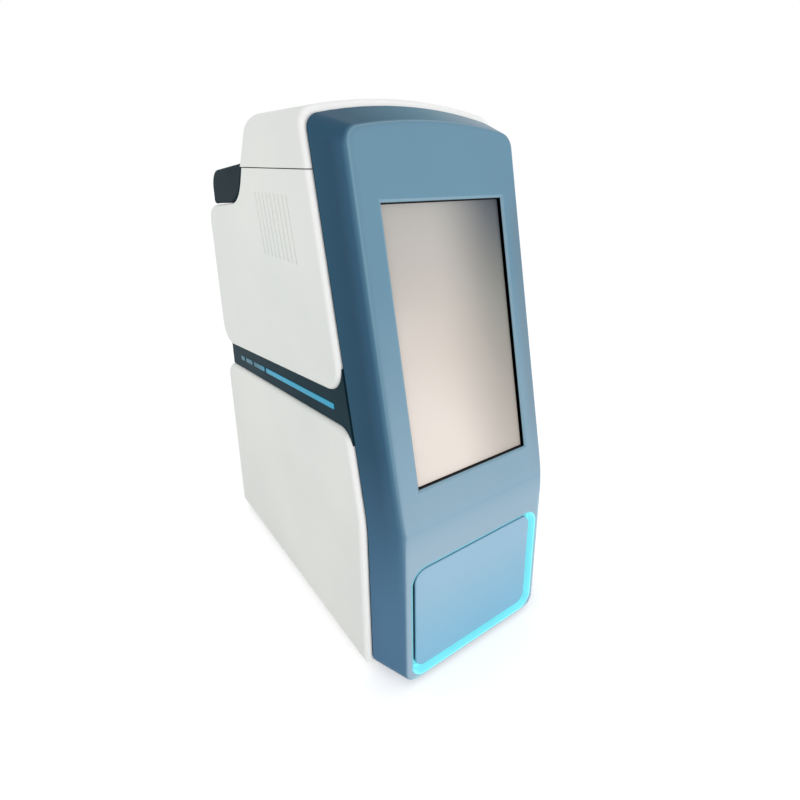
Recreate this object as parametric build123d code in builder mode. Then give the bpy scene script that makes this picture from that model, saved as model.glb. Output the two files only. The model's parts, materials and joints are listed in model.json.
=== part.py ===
from build123d import *
from math import atan, ceil, cos, pi, radians, sin, sqrt, tan
import os

# Bench analyser for dry reagent discs: a portrait touch screen over a lit disc drawer, a
# printer under a hinged lid at the back. Millimetres. +X is to the right of a person who
# faces the screen, +Y runs to the back, +Z up. The origin is on the bench, under the
# middle of the body.

os.makedirs("parts", exist_ok=True)

# Whole instrument
body_width = 140.0
body_depth = 257.0
body_height = 344.0
foot_height = 3.5

# Front bezel: two faces that lean back and meet in a soft bend
lower_tilt = 1.6
upper_tilt = 13.2
bend_height = 111.5
bend_radius = 120.0
bezel_depth = 25.0
bezel_wall = 2.5
side_reveal = 3.0
top_reveal = 3.9
side_flare = 9.8
top_flare = 15.7
arch_radius = 290.0
top_corner_radius = 10.0
bottom_corner_radius = 9.0
ridge_radius = 3.0

# Screen window
window_width = 90.0
window_length = 162.0
window_rise = 22.8
window_bevel = 1.3
glass_recess = 3.6
glass_overlap = 5.0
glass_thickness = 1.1
lcd_side_overlap = 4.0
lcd_end_overlap = 1.5
lcd_thickness = 5.8
lcd_gap = 0.4
collar_wall = 2.0
post_radius = 3.0
post_half_span = 44.0
post_row_gap = 9.0
post_root = 1.6
post_inset = 9.0
lcd_rim = 4.0
lcd_rim_height = 1.2
bracket_sheet = 1.2
bracket_margin = 2.0
bracket_window_width = 34.0
bracket_window_length = 54.4

# Lit ring and drawer front
ring_margin = 3.2
ring_drop = 25.2
ring_lip = 3.0
ring_wall = 1.0
ring_foot_wall = 2.4
ring_lip_depth = 6.0
ring_depth = 10.0
ring_corner_radius = 11.0
ring_board_thickness = 1.6
ring_led_height = 1.0
led_length = 3.0
led_width = 1.4
led_pitch = 13.0
led_columns = 7
led_rows = 5
ring_fit = 0.1
ring_flange = 0.8
ring_flange_thickness = 1.2
door_gap = 3.5
door_recess = 1.9
door_thickness = 3.0

# White shells
shell_wall = 2.5
shell_return = 8.0
shell_edge_radius = 3.0
seam_gap = 0.6
rim_gap = 1.8
cover_height = 37.6
cover_arch_radius = 317.0
cover_corner_radius = 11.0
cover_rear_lean = 31.3
cover_rear_radius = 20.0
printer_length = 81.3
panel_rear_inset = 2.5
panel_foot_radius = 4.0
upper_panel_low_rear_radius = 17.0
upper_panel_low_front_radius = 17.0
upper_panel_rear_radius = 14.0
lower_panel_front_radius = 14.0
lower_panel_rear_radius = 16.0
notch_drop = 29.9
notch_slope = 5.6
notch_lean = 24.8
notch_radius = 28.0
shell_post_radius = 3.0
vent_count = 9
vent_pitch = 6.0
vent_length = 40.0
vent_width = 1.2
vent_depth = 0.6
vent_front = 32.0
vent_drop = 34.0

# Dark band between the side shells, with its light bars
band_rise = 63.9
band_slope = 5.93
band_front_width = 20.6
band_rear_width = 18.1
band_gap = 0.4
band_inset = 2.4
band_thickness = 7.4
band_skin = 2.0
band_rear_inset = 14.0
light_lengths = (106.0, 21.5, 14.0, 7.5)
light_gap = 3.6
light_height = 3.5
light_start = 18.2
light_proud = 0.3
light_fit = 0.1
light_corner = 0.8

# Sheet-metal structure
sheet = 1.5
base_margin = 0.5
chassis_inset = 10.4
chassis_front_depth = 34.0
deck_height = 104.0
flange_width = 8.0
rear_panel_inset = 10.5
rear_panel_thickness = 2.0
foot_radius = 6.0
foot_half_span = 48.0
foot_front_inset = 38.0
foot_rear_inset = 28.0
foot_chamfer = 0.8
foot_bore_depth = 2.2
chassis_window_y = 10.0
chassis_window_length = 150.0
plate_flange = 14.0
plate_window_width = 84.0
plate_window_height = 130.0
base_vent_y = 70.0
base_vent_pitch = 8.0
base_vent_count = 9
base_vent_length = 40.0
base_vent_width = 2.4

# Screws
screw_radius = 1.5
screw_clearance = 0.1
thread_clearance = 0.05
screw_head_radius = 2.8
screw_head_height = 1.6
screw_length = 5.0
screw_slot = 0.9

# Drawer
drawer_travel = 95.0
door_corner_radius = 8.0
door_edge_radius = 0.8
door_boss = 3.0
door_boss_inset = 6.0
tray_clearance = 5.6
tray_length = 100.0
tray_low = 40.0
tray_high = 58.0
tray_wall = 2.5
tray_frame_thickness = 5.0
tray_window_width = 60.0
tray_window_length = 34.0
disc_clearance = 4.0
disc_recess_depth = 12.4
slide_thickness = 3.0
slide_height = 6.0
slide_rise = 5.0
slide_length = 150.0
slide_gap = 0.3
rail_length = 140.0
rail_wall = 1.4
rail_front_depth = 27.0
bracket_foot = 6.0
rail_window_count = 3
rail_window_length = 34.0
rail_window_height = 18.0
turntable_radius = 38.0
turntable_thickness = 2.5
turntable_gap = 0.6
nose_radius = 5.0
nose_height = 3.0
spindle_radius = 2.0
spindle_reach = 10.5
lug_radius = 1.2
lug_circle = 22.0
lug_count = 3
spindle_motor_radius = 21.0
spindle_motor_height = 18.0
running_gap = 0.05
gear_module = 1.0
pressure_angle = 20.0
gear_clearance = 0.25
pinion_teeth = 16
gear_face = 5.0
gear_backlash = 0.24
rack_side = 37.0
rack_width = 6.0
rack_back = 4.0
rack_lead_teeth = 3
pinion_place = 85.0
pinion_shaft_radius = 1.5
drawer_motor_radius = 11.0
drawer_motor_length = 27.0
motor_face_x = 32.0
motor_hub_radius = 3.0
motor_plate_half = 13.0
motor_plate_gap = 1.5
motor_foot = 12.0

# Optics above the drawer
bracket_height = 64.0
optics_rear = 15.0
optics_plate_thickness = 3.0
heater_radius = 40.0
heater_gap = 2.0
heater_thickness = 3.0
heater_post_circle = 30.0
lens_circle = 32.0
lens_radius = 4.5
lens_clearance = 0.5
lens_length = 6.5
head_width = 40.0
head_length = 42.0
head_height = 25.0
head_radius = 3.0
head_tube_radius = 8.0
head_tube_height = 6.0
lamp_width = 32.0
lamp_length = 30.0
lamp_base = 8.0
fin_count = 7
fin_thickness = 1.5
fin_height = 18.0

# Boards and power supply
board_thickness = 1.6
board_post_radius = 2.5
chip_height = 2.0
chip_side = 12.0
main_board_front = -45.0
main_board_length = 105.0
main_board_low = 122.0
main_board_height = 108.0
main_board_gap = 6.5
connector_width = 20.0
connector_depth = 8.0
supply_x = -12.0
supply_width = 80.0
supply_length = 64.0
supply_height = 40.0
supply_foot = 3.0
supply_rear_gap = 4.0
supply_slot_count = 8
supply_slot_pitch = 7.0
supply_slot_depth = 0.8

# Printer under its lid
paper_width = 57.0
lid_rise = 2.6
lid_slope = 5.35
lid_side_inset = 1.0
lid_wall = 2.0
lid_gap = 0.8
lid_front_gap = 0.9
lid_rear_inset = 14.6
lid_rear_radius = 14.0
lid_edge_radius = 1.5
lid_opening_setback = 7.6
paper_slot_overhang = 1.5
paper_slot_length = 3.2
hinge_radius = 2.8
hinge_pin_radius = 1.5
hinge_offset = 46.0
knuckle_length = 7.2
knuckle_gap = 0.4
ear_length = 6.0
ear_clearance = 0.6
platen_radius = 5.0
platen_overhang = 0.5
platen_shaft_radius = 2.0
platen_setback = 17.3
platen_drop = 10.9
platen_ear_thickness = 2.0
platen_ear_gap = 2.0
platen_ear_width = 8.0
roll_radius = 20.0
roll_core_radius = 6.0
roll_setback = 36.8
roll_drop = 37.9
roll_stub_radius = 3.0
roll_clearance = 2.0
roll_end_gap = 2.0
bed_rear_gap = 0.5
tub_wall = 2.0
tub_depth = 32.0
head_gap = 0.3
head_plate_thickness = 2.4
head_overhang = 1.5
head_plate_rise = 3.5
head_seat_drop = 4.5
head_seat_inset = 2.0
cheek_offset = 36.0
cheek_thickness = 1.5
cheek_length = 12.0
cheek_rise = 2.0

# Rear fittings
fan_size = 60.0
fan_corner_radius = 4.0
fan_thickness = 15.0
fan_height = 205.0
fan_bore_radius = 27.5
fan_strut = 2.5
fan_hub_radius = 11.0
fan_hub_length = 10.0
fan_pin_radius = 2.0
blade_gap = 1.0
blade_count = 7
blade_chord = 9.0
blade_thickness = 1.2
blade_pitch = 35.0
fan_screw_span = 50.0
grille_rings = 5
grille_pitch = 5.4
grille_slot = 2.8
grille_bar = 3.0
fittings_height = 72.0
fitting_clearance = 0.2
fitting_flange = 2.0
inlet_x = -36.0
inlet_width = 27.0
inlet_height = 20.0
inlet_depth = 18.0
plug_width = 24.0
plug_height = 16.0
plug_depth = 15.0
plug_corner = 4.0
blade_width = 2.0
blade_height = 4.0
blade_length = 13.0
blade_span = 14.0
blade_rise = 4.2
switch_x = -6.0
switch_width = 15.0
switch_height = 23.0
switch_depth = 14.0
switch_floor = 2.0
switch_flange = 1.5
rocker_width = 10.4
rocker_gap = 0.3
rocker_half_height = 8.8
rocker_front = 5.0
rocker_end = 6.2
rocker_back = 1.5
rocker_depth = 4.0
rocker_tilt = 8.0
rocker_pin_radius = 1.2
rocker_pin_length = 1.2
cavity_half_height = 10.3
network_x = 17.0
network_width = 16.0
network_height = 13.6
jack_width = 11.7
jack_height = 8.2
jack_depth = 12.0
port_proud = 1.0
port_length = 21.0
usb_x = 38.0
usb_width = 14.6
usb_height = 15.6
usb_slot_width = 12.4
usb_slot_height = 4.8
usb_slot_pitch = 7.4
usb_slot_depth = 14.0
usb_tongue = 1.8
io_board_width = 44.0
io_board_height = 34.0
rear_vent_z = 30.0
rear_vent_length = 26.0

# Derived places
under_z = foot_height
top_z = foot_height + body_height
front_y = -body_depth / 2
rear_y = body_depth / 2
half_width = body_width / 2
rim_half = half_width - side_reveal
front_half = rim_half - side_flare
bend_z = under_z + bend_height
bend_y = front_y + bend_height * tan(radians(lower_tilt))
seam_z = top_z - cover_height
base_top = under_z + sheet
inner_half = half_width - shell_return - base_margin
post_hole_radius = screw_radius + thread_clearance
chassis_half = half_width - chassis_inset
side_slope = side_flare / bezel_depth
top_slope = top_flare / bezel_depth


def face_plane(tilt, depth=0.0):
    """Plane of a front face moved back into the body by depth; its Y runs up the face."""
    outward = Vector(0, -cos(radians(tilt)), sin(radians(tilt)))
    return Plane(origin=Vector(0, bend_y, bend_z) - outward * depth, x_dir=(1, 0, 0), z_dir=outward)


def face_y(tilt, z, depth):
    """Y of the plane depth behind a front face, at height z."""
    along = (z - bend_z + depth * sin(radians(tilt))) / cos(radians(tilt))
    return bend_y + along * sin(radians(tilt)) + depth * cos(radians(tilt))


rim_rise = top_z - top_reveal - bend_z + bezel_depth * sin(radians(upper_tilt))
rim_top_s = rim_rise / cos(radians(upper_tilt))
ridge_s = rim_top_s - top_flare
foot_s = -bend_height / cos(radians(lower_tilt))


def bezel_form(inset, reach):
    """Bent, flared form of the bezel, every face moved in by inset, from the front to depth reach."""
    shift = inset * sqrt(1 + side_slope**2)
    front_x = front_half + side_slope * inset - shift
    rear_x = front_half + side_slope * reach - shift
    apex = ridge_s - inset * sqrt(1 + top_slope**2)
    sag = arch_radius - sqrt(arch_radius**2 - body_width**2)
    low_s = foot_s - body_width
    low = face_plane(lower_tilt).from_local_coords((0, foot_s - bezel_depth, 0))
    high = face_plane(upper_tilt).from_local_coords((0, rim_top_s + bezel_depth, 0))
    upper = face_plane(upper_tilt)
    rearward = upper.y_dir * top_slope - upper.z_dir
    with BuildPart() as form:
        with BuildLine() as spine:
            FilletPolyline(low, (0, bend_y, bend_z), high, radius=bend_radius)
        with BuildSketch(Plane(origin=spine.line @ 0, x_dir=(1, 0, 0), z_dir=spine.line % 0)):
            with BuildLine():
                Polyline((-front_x, inset), (front_x, inset), (rear_x, reach), (-rear_x, reach), close=True)
            make_face()
        sweep(path=spine.line)
        with BuildSketch(upper):
            with BuildLine():
                arch = ThreePointArc((-body_width, apex - sag), (0, apex), (body_width, apex - sag))
                Polyline(arch @ 1, (body_width, low_s), (-body_width, low_s), arch @ 0)
            make_face()
        extrude(amount=bend_height, dir=rearward, both=True, mode=Mode.INTERSECT)
        split(bisect_by=Plane.XY.offset(under_z + inset), keep=Keep.TOP)
        top_runs = form.edges().filter_by(runs_back).filter_by(lambda edge: edge.center().Z > seam_z)
        fillet(top_runs, radius=top_corner_radius - inset)
        foot_runs = form.edges().filter_by(runs_back).filter_by(lambda edge: edge.center().Z < bend_z)
        fillet(foot_runs, radius=bottom_corner_radius - inset)
    return form.part


def runs_back(edge):
    """True for an edge that runs from the front of the bezel form to its rear rim."""
    span = edge.end_point() - edge.start_point()
    return abs(span.Y) > bezel_depth / 2 and edge.length < 2 * bezel_depth


# Front bezel
upper_face = face_plane(upper_tilt)
lower_face = face_plane(lower_tilt)
window_center = window_rise + window_length / 2
lcd_width = window_width + 2 * lcd_side_overlap
lcd_length = window_length + 2 * lcd_end_overlap
opening_width = window_width - 2 * window_bevel
opening_length = window_length - 2 * window_bevel
ring_half = front_half - ring_margin
ring_bottom = foot_s + ring_lip
ring_height = -ring_drop - ring_bottom
ring_center = ring_bottom + ring_height / 2
foot_half = ring_half - ring_foot_wall
foot_opening = ring_height - 2 * ring_foot_wall
foot_corner = ring_corner_radius - ring_foot_wall
bracket_low = window_rise - post_row_gap
bracket_high = window_rise + window_length + post_row_gap
mount_low = bracket_low - post_row_gap
mount_rise = seam_z - seam_gap - bend_z + bezel_depth * sin(radians(upper_tilt))
mount_high = mount_rise / cos(radians(upper_tilt)) - post_radius
mount_center = (mount_low + mount_high) / 2
bracket_depth = glass_recess + glass_thickness + lcd_thickness + lcd_gap


def in_window(edge):
    """True for an edge of the screen opening on the bezel's front face."""
    place = upper_face.to_local_coords(edge.center())
    inside = abs(place.X) <= window_width / 2 and abs(place.Y - window_center) <= window_length / 2
    return inside and abs(place.Z) < 0.01


def faces_front(face):
    """True for the forward faces of the bezel, the bend between them included."""
    return face.normal_at().Y < -0.9


with BuildPart() as front_bezel:
    add(bezel_form(0, bezel_depth))
    front_faces = front_bezel.faces().filter_by(faces_front)
    rows = [face.edges() for face in front_faces]
    outline = front_bezel.edges().filter_by(lambda edge: sum(edge in row for row in rows) == 1)
    fillet(outline, radius=ridge_radius)
    add(bezel_form(bezel_wall, bezel_depth + rim_gap), mode=Mode.SUBTRACT)
    with BuildSketch(face_plane(upper_tilt, glass_recess)):
        with Locations((0, window_center)):
            Rectangle(opening_width + 2 * collar_wall, opening_length + 2 * collar_wall)
    extrude(amount=glass_recess - post_root)
    with BuildSketch(face_plane(upper_tilt, bracket_depth)):
        with Locations((0, window_center)):
            with GridLocations(2 * post_half_span, bracket_high - bracket_low, 2, 2):
                Circle(post_radius)
    extrude(amount=bracket_depth - post_root)
    with BuildSketch(face_plane(upper_tilt, bezel_depth)):
        with Locations((0, mount_center)):
            with GridLocations(2 * post_half_span, mount_high - mount_low, 2, 2):
                Circle(post_radius)
    extrude(amount=bezel_depth - post_root)
    with BuildSketch(face_plane(upper_tilt, bezel_depth)):
        with Locations((0, mount_center)):
            with GridLocations(2 * post_half_span, mount_high - mount_low, 2, 2):
                Circle(post_hole_radius)
    extrude(amount=screw_length + 1, mode=Mode.SUBTRACT)
    with BuildSketch(face_plane(upper_tilt, bracket_depth)):
        with Locations((0, window_center)):
            with GridLocations(2 * post_half_span, bracket_high - bracket_low, 2, 2):
                Circle(post_hole_radius)
    extrude(amount=screw_length + 1, mode=Mode.SUBTRACT)
    with BuildSketch(upper_face):
        with Locations((0, window_center)):
            Rectangle(opening_width, opening_length)
    extrude(amount=-glass_recess, mode=Mode.SUBTRACT)
    chamfer(front_bezel.edges().filter_by(in_window), length=window_bevel)
    with BuildSketch(lower_face):
        with Locations((0, ring_center)):
            fit_height = ring_height + 2 * ring_fit
            RectangleRounded(2 * (ring_half + ring_fit), fit_height, ring_corner_radius + ring_fit)
    extrude(amount=-ring_depth, mode=Mode.SUBTRACT)
front_bezel.part.label = "front_bezel"

# Light ring round the drawer, with its board behind
with BuildPart() as light_ring:
    with BuildSketch(lower_face):
        with Locations((0, ring_center)):
            RectangleRounded(2 * ring_half, ring_height, ring_corner_radius)
    extrude(amount=-ring_depth)
    with BuildSketch(face_plane(lower_tilt, bezel_wall)):
        with Locations((0, ring_center + ring_corner_radius + ring_flange / 2)):
            flange_height = ring_height - 2 * ring_corner_radius + ring_flange
            RectangleRounded(2 * (ring_half + ring_flange), flange_height, ring_corner_radius)
    extrude(amount=-ring_flange_thickness)
    with BuildSketch(lower_face):
        with Locations((0, ring_center)):
            lip_height = ring_height - 2 * ring_wall
            RectangleRounded(2 * (ring_half - ring_wall), lip_height, ring_corner_radius - ring_wall)
    extrude(amount=-ring_lip_depth, mode=Mode.SUBTRACT)
    with BuildSketch(lower_face):
        with Locations((0, ring_center)):
            RectangleRounded(2 * foot_half, foot_opening, foot_corner)
    extrude(amount=-ring_depth, mode=Mode.SUBTRACT)
light_ring.part.label = "light_ring"

with BuildPart() as ring_light_board:
    with BuildSketch(face_plane(lower_tilt, ring_depth + ring_led_height + ring_board_thickness)):
        with Locations((0, ring_center)):
            RectangleRounded(2 * ring_half, ring_height, ring_corner_radius)
            RectangleRounded(2 * foot_half, foot_opening, foot_corner, mode=Mode.SUBTRACT)
    extrude(amount=ring_board_thickness)
    with BuildSketch(face_plane(lower_tilt, ring_depth + ring_led_height)):
        with Locations((0, ring_center)):
            with GridLocations(led_pitch, ring_height - ring_foot_wall, led_columns, 2):
                Rectangle(led_length, led_width)
            with GridLocations(2 * ring_half - ring_foot_wall, led_pitch, 2, led_rows):
                Rectangle(led_width, led_length)
    extrude(amount=ring_led_height)
ring_light_board.part.label = "ring_light_board"

# Display: glass, panel module and the bracket that clamps them
with BuildPart() as touch_glass:
    with BuildSketch(face_plane(upper_tilt, glass_recess + glass_thickness)):
        with Locations((0, window_center)):
            glass_length = opening_length + 2 * glass_overlap
            RectangleRounded(opening_width + 2 * glass_overlap, glass_length, collar_wall)
    extrude(amount=glass_thickness)
touch_glass.part.label = "touch_glass"

with BuildPart() as lcd_module:
    with BuildSketch(face_plane(upper_tilt, bracket_depth - lcd_gap)):
        with Locations((0, window_center)):
            Rectangle(lcd_width, lcd_length)
    extrude(amount=lcd_thickness)
    with BuildSketch(face_plane(upper_tilt, bracket_depth - lcd_gap)):
        with Locations((0, window_center)):
            Rectangle(lcd_width - 2 * lcd_rim, lcd_length - 2 * lcd_rim)
    extrude(amount=lcd_rim_height, mode=Mode.SUBTRACT)
lcd_module.part.label = "lcd_module"

with BuildPart() as display_bracket:
    with BuildSketch(face_plane(upper_tilt, bracket_depth + bracket_sheet)):
        with Locations((0, window_center)):
            bracket_length = bracket_high - bracket_low + 2 * post_radius
            RectangleRounded(lcd_width + 2 * bracket_margin, bracket_length, post_radius)
            with GridLocations(lcd_width / 2, lcd_length / 2, 2, 2):
                RectangleRounded(
                    bracket_window_width,
                    bracket_window_length,
                    post_radius,
                    mode=Mode.SUBTRACT,
                )
            with GridLocations(2 * post_half_span, bracket_high - bracket_low, 2, 2):
                Circle(screw_radius + screw_clearance, mode=Mode.SUBTRACT)
    extrude(amount=bracket_sheet)
display_bracket.part.label = "display_bracket"


# White shells: outlines in side view, taken from the rim of the bezel and the band between them
band_front_y = face_y(upper_tilt, bend_z + band_rise, bezel_depth)
panel_rear_y = rear_y - panel_rear_inset
printer_y = rear_y - printer_length
rim_depth = bezel_depth + rim_gap
half_bend = (upper_tilt - lower_tilt) / 2
mean_tilt = (upper_tilt + lower_tilt) / 2


def band_line(y, side):
    """Height of the band's middle line at y, moved up or down to its edge by side of 1, 0 or -1."""
    along = (y - band_front_y) / (panel_rear_y - band_front_y)
    width = band_front_width + (band_rear_width - band_front_width) * along
    return bend_z + band_rise - (y - band_front_y) * tan(radians(band_slope)) + side * width / 2


def rim_point(z):
    """Point of the bezel's rear rim line, with its gap, at height z above the bend."""
    return (face_y(upper_tilt, z, rim_depth), z)


def bend_point(depth):
    """Point where the two front faces, both moved back by depth, meet in side view."""
    reach = depth / cos(radians(half_bend))
    return (bend_y + reach * cos(radians(mean_tilt)), bend_z - reach * sin(radians(mean_tilt)))


def notch_height(y):
    """Height of the floor of the printer's notch at y."""
    return seam_z - notch_drop + (rear_y - y) * tan(radians(notch_slope))


def notch_corner(gap):
    """Corner where the steep front of the notch meets its floor, both moved into the notch by gap."""
    lean = tan(radians(notch_lean))
    slope = tan(radians(notch_slope))
    start_y = printer_y + gap / cos(radians(notch_lean))
    drop = (seam_z - notch_height(start_y) - gap / cos(radians(notch_slope))) / (1 - lean * slope)
    return (start_y + drop * lean, seam_z - drop)


upper_points = (
    rim_point(seam_z - seam_gap),
    (printer_y, seam_z - seam_gap),
    notch_corner(0),
    (rear_y, notch_height(rear_y)),
    (panel_rear_y, band_line(panel_rear_y, 1)),
    rim_point(band_line(band_front_y, 1)),
)
upper_radii = (
    0,
    0,
    notch_radius,
    upper_panel_rear_radius,
    upper_panel_low_rear_radius,
    upper_panel_low_front_radius,
)
lower_points = (
    (face_y(lower_tilt, under_z, rim_depth), under_z),
    bend_point(rim_depth),
    rim_point(band_line(band_front_y, -1)),
    (panel_rear_y, band_line(panel_rear_y, -1)),
    (panel_rear_y, under_z),
)
lower_radii = (
    panel_foot_radius,
    bend_radius - rim_depth,
    lower_panel_front_radius,
    lower_panel_rear_radius,
    panel_foot_radius,
)


def side_shell(points, radii, posts):
    """Right-hand side shell: a shallow tray with rounded outer edges and posts to the chassis."""
    inner_plane = Plane.YZ.offset(half_width - shell_return)
    with BuildPart() as shell:
        with BuildSketch(inner_plane):
            with BuildLine():
                FilletPolyline(*points, radius=radii, close=True)
            make_face()
        extrude(amount=shell_return)
        rounded = shell.faces().sort_by(Axis.X)[-1].edges()
        rounded = rounded.filter_by(lambda edge: edge.center().Z < seam_z - 2 * seam_gap)
        fillet(rounded, radius=shell_edge_radius)
        with BuildSketch(inner_plane):
            with BuildLine():
                FilletPolyline(*points, radius=radii, close=True)
            make_face()
            offset(amount=-shell_wall)
        extrude(amount=shell_return - shell_wall, mode=Mode.SUBTRACT)
        with BuildSketch(Plane.YZ.offset(chassis_half)):
            with Locations(*posts):
                Circle(shell_post_radius)
        extrude(amount=half_width - shell_wall - chassis_half)
        with BuildSketch(Plane.YZ.offset(chassis_half)):
            with Locations(*posts):
                Circle(post_hole_radius)
        extrude(amount=screw_length + 1, mode=Mode.SUBTRACT)
    return shell.part


upper_posts = (
    (printer_y - post_inset, seam_z - post_inset),
    (face_y(upper_tilt, seam_z, chassis_front_depth) + post_inset, seam_z - post_inset),
    (rear_y - 2 * post_inset, notch_height(rear_y) - 2 * post_inset),
    (rear_y - 2 * post_inset, band_line(rear_y, 1) + 2 * post_inset),
    (
        face_y(upper_tilt, bend_z + band_rise, chassis_front_depth) + 2 * post_inset,
        band_line(band_front_y, 1) + post_inset,
    ),
)
lower_posts = (
    (bend_y + chassis_front_depth + post_inset, base_top + post_inset),
    (bend_y + chassis_front_depth + post_inset, bend_z),
    (rear_y - 2 * post_inset, base_top + post_inset),
    (rear_y - 2 * post_inset, bend_z),
)

# Louvres pressed into the upper shells: slanted grooves that follow the lean of the screen
with BuildPart() as right_upper_panel:
    add(side_shell(upper_points, upper_radii, upper_posts))
    with BuildSketch(Plane.YZ.offset(half_width)):
        for index in range(vent_count):
            groove_y = face_y(upper_tilt, seam_z - vent_drop, rim_depth) + vent_front + index * vent_pitch
            with Locations((groove_y, seam_z - vent_drop)):
                SlotOverall(vent_length, vent_width, rotation=90 - upper_tilt)
    extrude(amount=-vent_depth, mode=Mode.SUBTRACT)
right_upper_panel.part.label = "right_upper_panel"

with BuildPart() as left_upper_panel:
    mirror(right_upper_panel.part, about=Plane.YZ)
left_upper_panel.part.label = "left_upper_panel"

with BuildPart() as right_lower_panel:
    add(side_shell(lower_points, lower_radii, lower_posts))
right_lower_panel.part.label = "right_lower_panel"

with BuildPart() as left_lower_panel:
    mirror(right_lower_panel.part, about=Plane.YZ)
left_lower_panel.part.label = "left_lower_panel"


def cover_form(inset, low_z):
    """Form of the top cover, every face moved in by inset, down to low_z."""
    side = half_width - inset
    apex = top_z - inset
    radius = cover_arch_radius - inset
    sag = radius - sqrt(radius**2 - side**2)
    lean = tan(radians(cover_rear_lean))
    rear_shift = inset / cos(radians(cover_rear_lean))
    rear_low_y = printer_y - rear_shift + (seam_z - low_z) * lean
    rear_high_y = printer_y - rear_shift - (apex - seam_z) * lean
    front_low_y = face_y(upper_tilt, low_z, rim_depth + inset)
    front_high_y = face_y(upper_tilt, apex, rim_depth + inset)
    with BuildPart() as form:
        with BuildSketch(Plane.YZ.offset(-side)):
            with BuildLine():
                FilletPolyline(
                    (front_low_y, low_z),
                    (front_high_y, apex),
                    (rear_high_y, apex),
                    (rear_low_y, low_z),
                    radius=(0, 0, cover_rear_radius - inset, 0),
                    close=True,
                )
            make_face()
        extrude(amount=2 * side)
        with BuildSketch(Plane.XZ.offset(-rear_y)):
            with BuildLine():
                ThreePointArc((-side, apex - sag), (0, apex), (side, apex - sag))
                Polyline((side, apex - sag), (side, low_z), (-side, low_z), (-side, apex - sag))
            make_face()
            fillet(vertices().group_by(Axis.Y)[-1], radius=cover_corner_radius - inset)
        extrude(amount=body_depth, mode=Mode.INTERSECT)
    return form.part


with BuildPart() as top_cover:
    add(cover_form(0, seam_z))
    front_edges = top_cover.faces().sort_by(Axis.Y)[0].edges()
    fillet(front_edges.filter_by(lambda edge: edge.center().Z > seam_z + 1), radius=shell_edge_radius)
    add(cover_form(shell_wall, seam_z - shell_wall), mode=Mode.SUBTRACT)
top_cover.part.label = "top_cover"

# Dark band between the shells, pierced for its light bars
light_places = []
light_edge = band_front_y + light_start
for light_length in light_lengths:
    light_places.append((light_edge + light_length / 2, light_length))
    light_edge += light_length + light_gap

with BuildPart() as right_band:
    with BuildSketch(Plane.YZ.offset(half_width - band_inset - band_thickness)) as band_outline:
        with BuildLine():
            Polyline(
                rim_point(band_line(band_front_y, 1) + band_front_width),
                (rear_y - band_rear_inset, band_line(rear_y, 1) + band_front_width),
                (rear_y - band_rear_inset, band_line(rear_y, -1) - band_front_width),
                rim_point(band_line(band_front_y, -1) - band_front_width / 2),
                close=True,
            )
        make_face()
        for points, radii in ((upper_points, upper_radii), (lower_points, lower_radii)):
            with BuildSketch(Plane.YZ, mode=Mode.PRIVATE) as neighbour:
                with BuildLine():
                    FilletPolyline(*points, radius=radii, close=True)
                make_face()
                offset(amount=band_gap)
            add(neighbour.sketch_local, mode=Mode.SUBTRACT)
    extrude(amount=band_thickness)
    band_face = band_outline.sketch_local
    with BuildSketch(Plane.YZ.offset(half_width - band_inset - band_thickness)):
        add(band_face)
        offset(amount=-band_skin)
    extrude(amount=band_thickness - band_skin, mode=Mode.SUBTRACT)
    with BuildSketch(Plane.YZ.offset(half_width - band_inset)):
        for light_y, length in light_places:
            with Locations((light_y, band_line(light_y, 0))):
                slot_height = light_height + 2 * light_fit
                RectangleRounded(length + 2 * light_fit, slot_height, light_corner + light_fit,
                                 rotation=-band_slope)
    extrude(amount=-band_skin, mode=Mode.SUBTRACT)
right_band.part.label = "right_band"

with BuildPart() as left_band:
    mirror(right_band.part, about=Plane.YZ)
left_band.part.label = "left_band"

with BuildPart() as right_lights:
    with BuildSketch(Plane.YZ.offset(half_width - band_inset - band_skin)):
        for light_y, length in light_places:
            with Locations((light_y, band_line(light_y, 0))):
                RectangleRounded(length, light_height, light_corner, rotation=-band_slope)
    extrude(amount=band_skin + light_proud)
right_lights.part.label = "right_lights"

with BuildPart() as left_lights:
    mirror(right_lights.part, about=Plane.YZ)
left_lights.part.label = "left_lights"

# Sheet-metal chassis: two side plates, a deck and flanges for the rear panel
rear_face = rear_y - rear_panel_inset
rear_inner = rear_face - rear_panel_thickness
plate_inner = chassis_half - sheet
deck_z = under_z + deck_height
notch_inset = shell_wall + lid_gap + sheet
deck_front = face_y(lower_tilt, deck_z, bezel_depth + plate_flange + seam_gap)
rear_panel_top = notch_height(rear_y) - seam_gap
flange_top = notch_height(rear_inner) - notch_inset
rear_screw_x = chassis_half - sheet - flange_width / 2
rear_screw_places = [
    (side * rear_screw_x, level)
    for side in (-1, 1)
    for level in (base_top + post_inset, (base_top + flange_top) / 2, flange_top - post_inset)
]
chassis_top = seam_z + cover_height / 3
plate_points = (
    (face_y(lower_tilt, base_top, chassis_front_depth), base_top),
    bend_point(chassis_front_depth),
    (face_y(upper_tilt, chassis_top, chassis_front_depth), chassis_top),
    (printer_y - cover_height / 2, chassis_top),
    (printer_y - notch_inset / cos(radians(notch_lean)), seam_z),
    notch_corner(-notch_inset),
    (rear_inner, notch_height(rear_inner) - notch_inset),
    (rear_inner, base_top),
)

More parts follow.
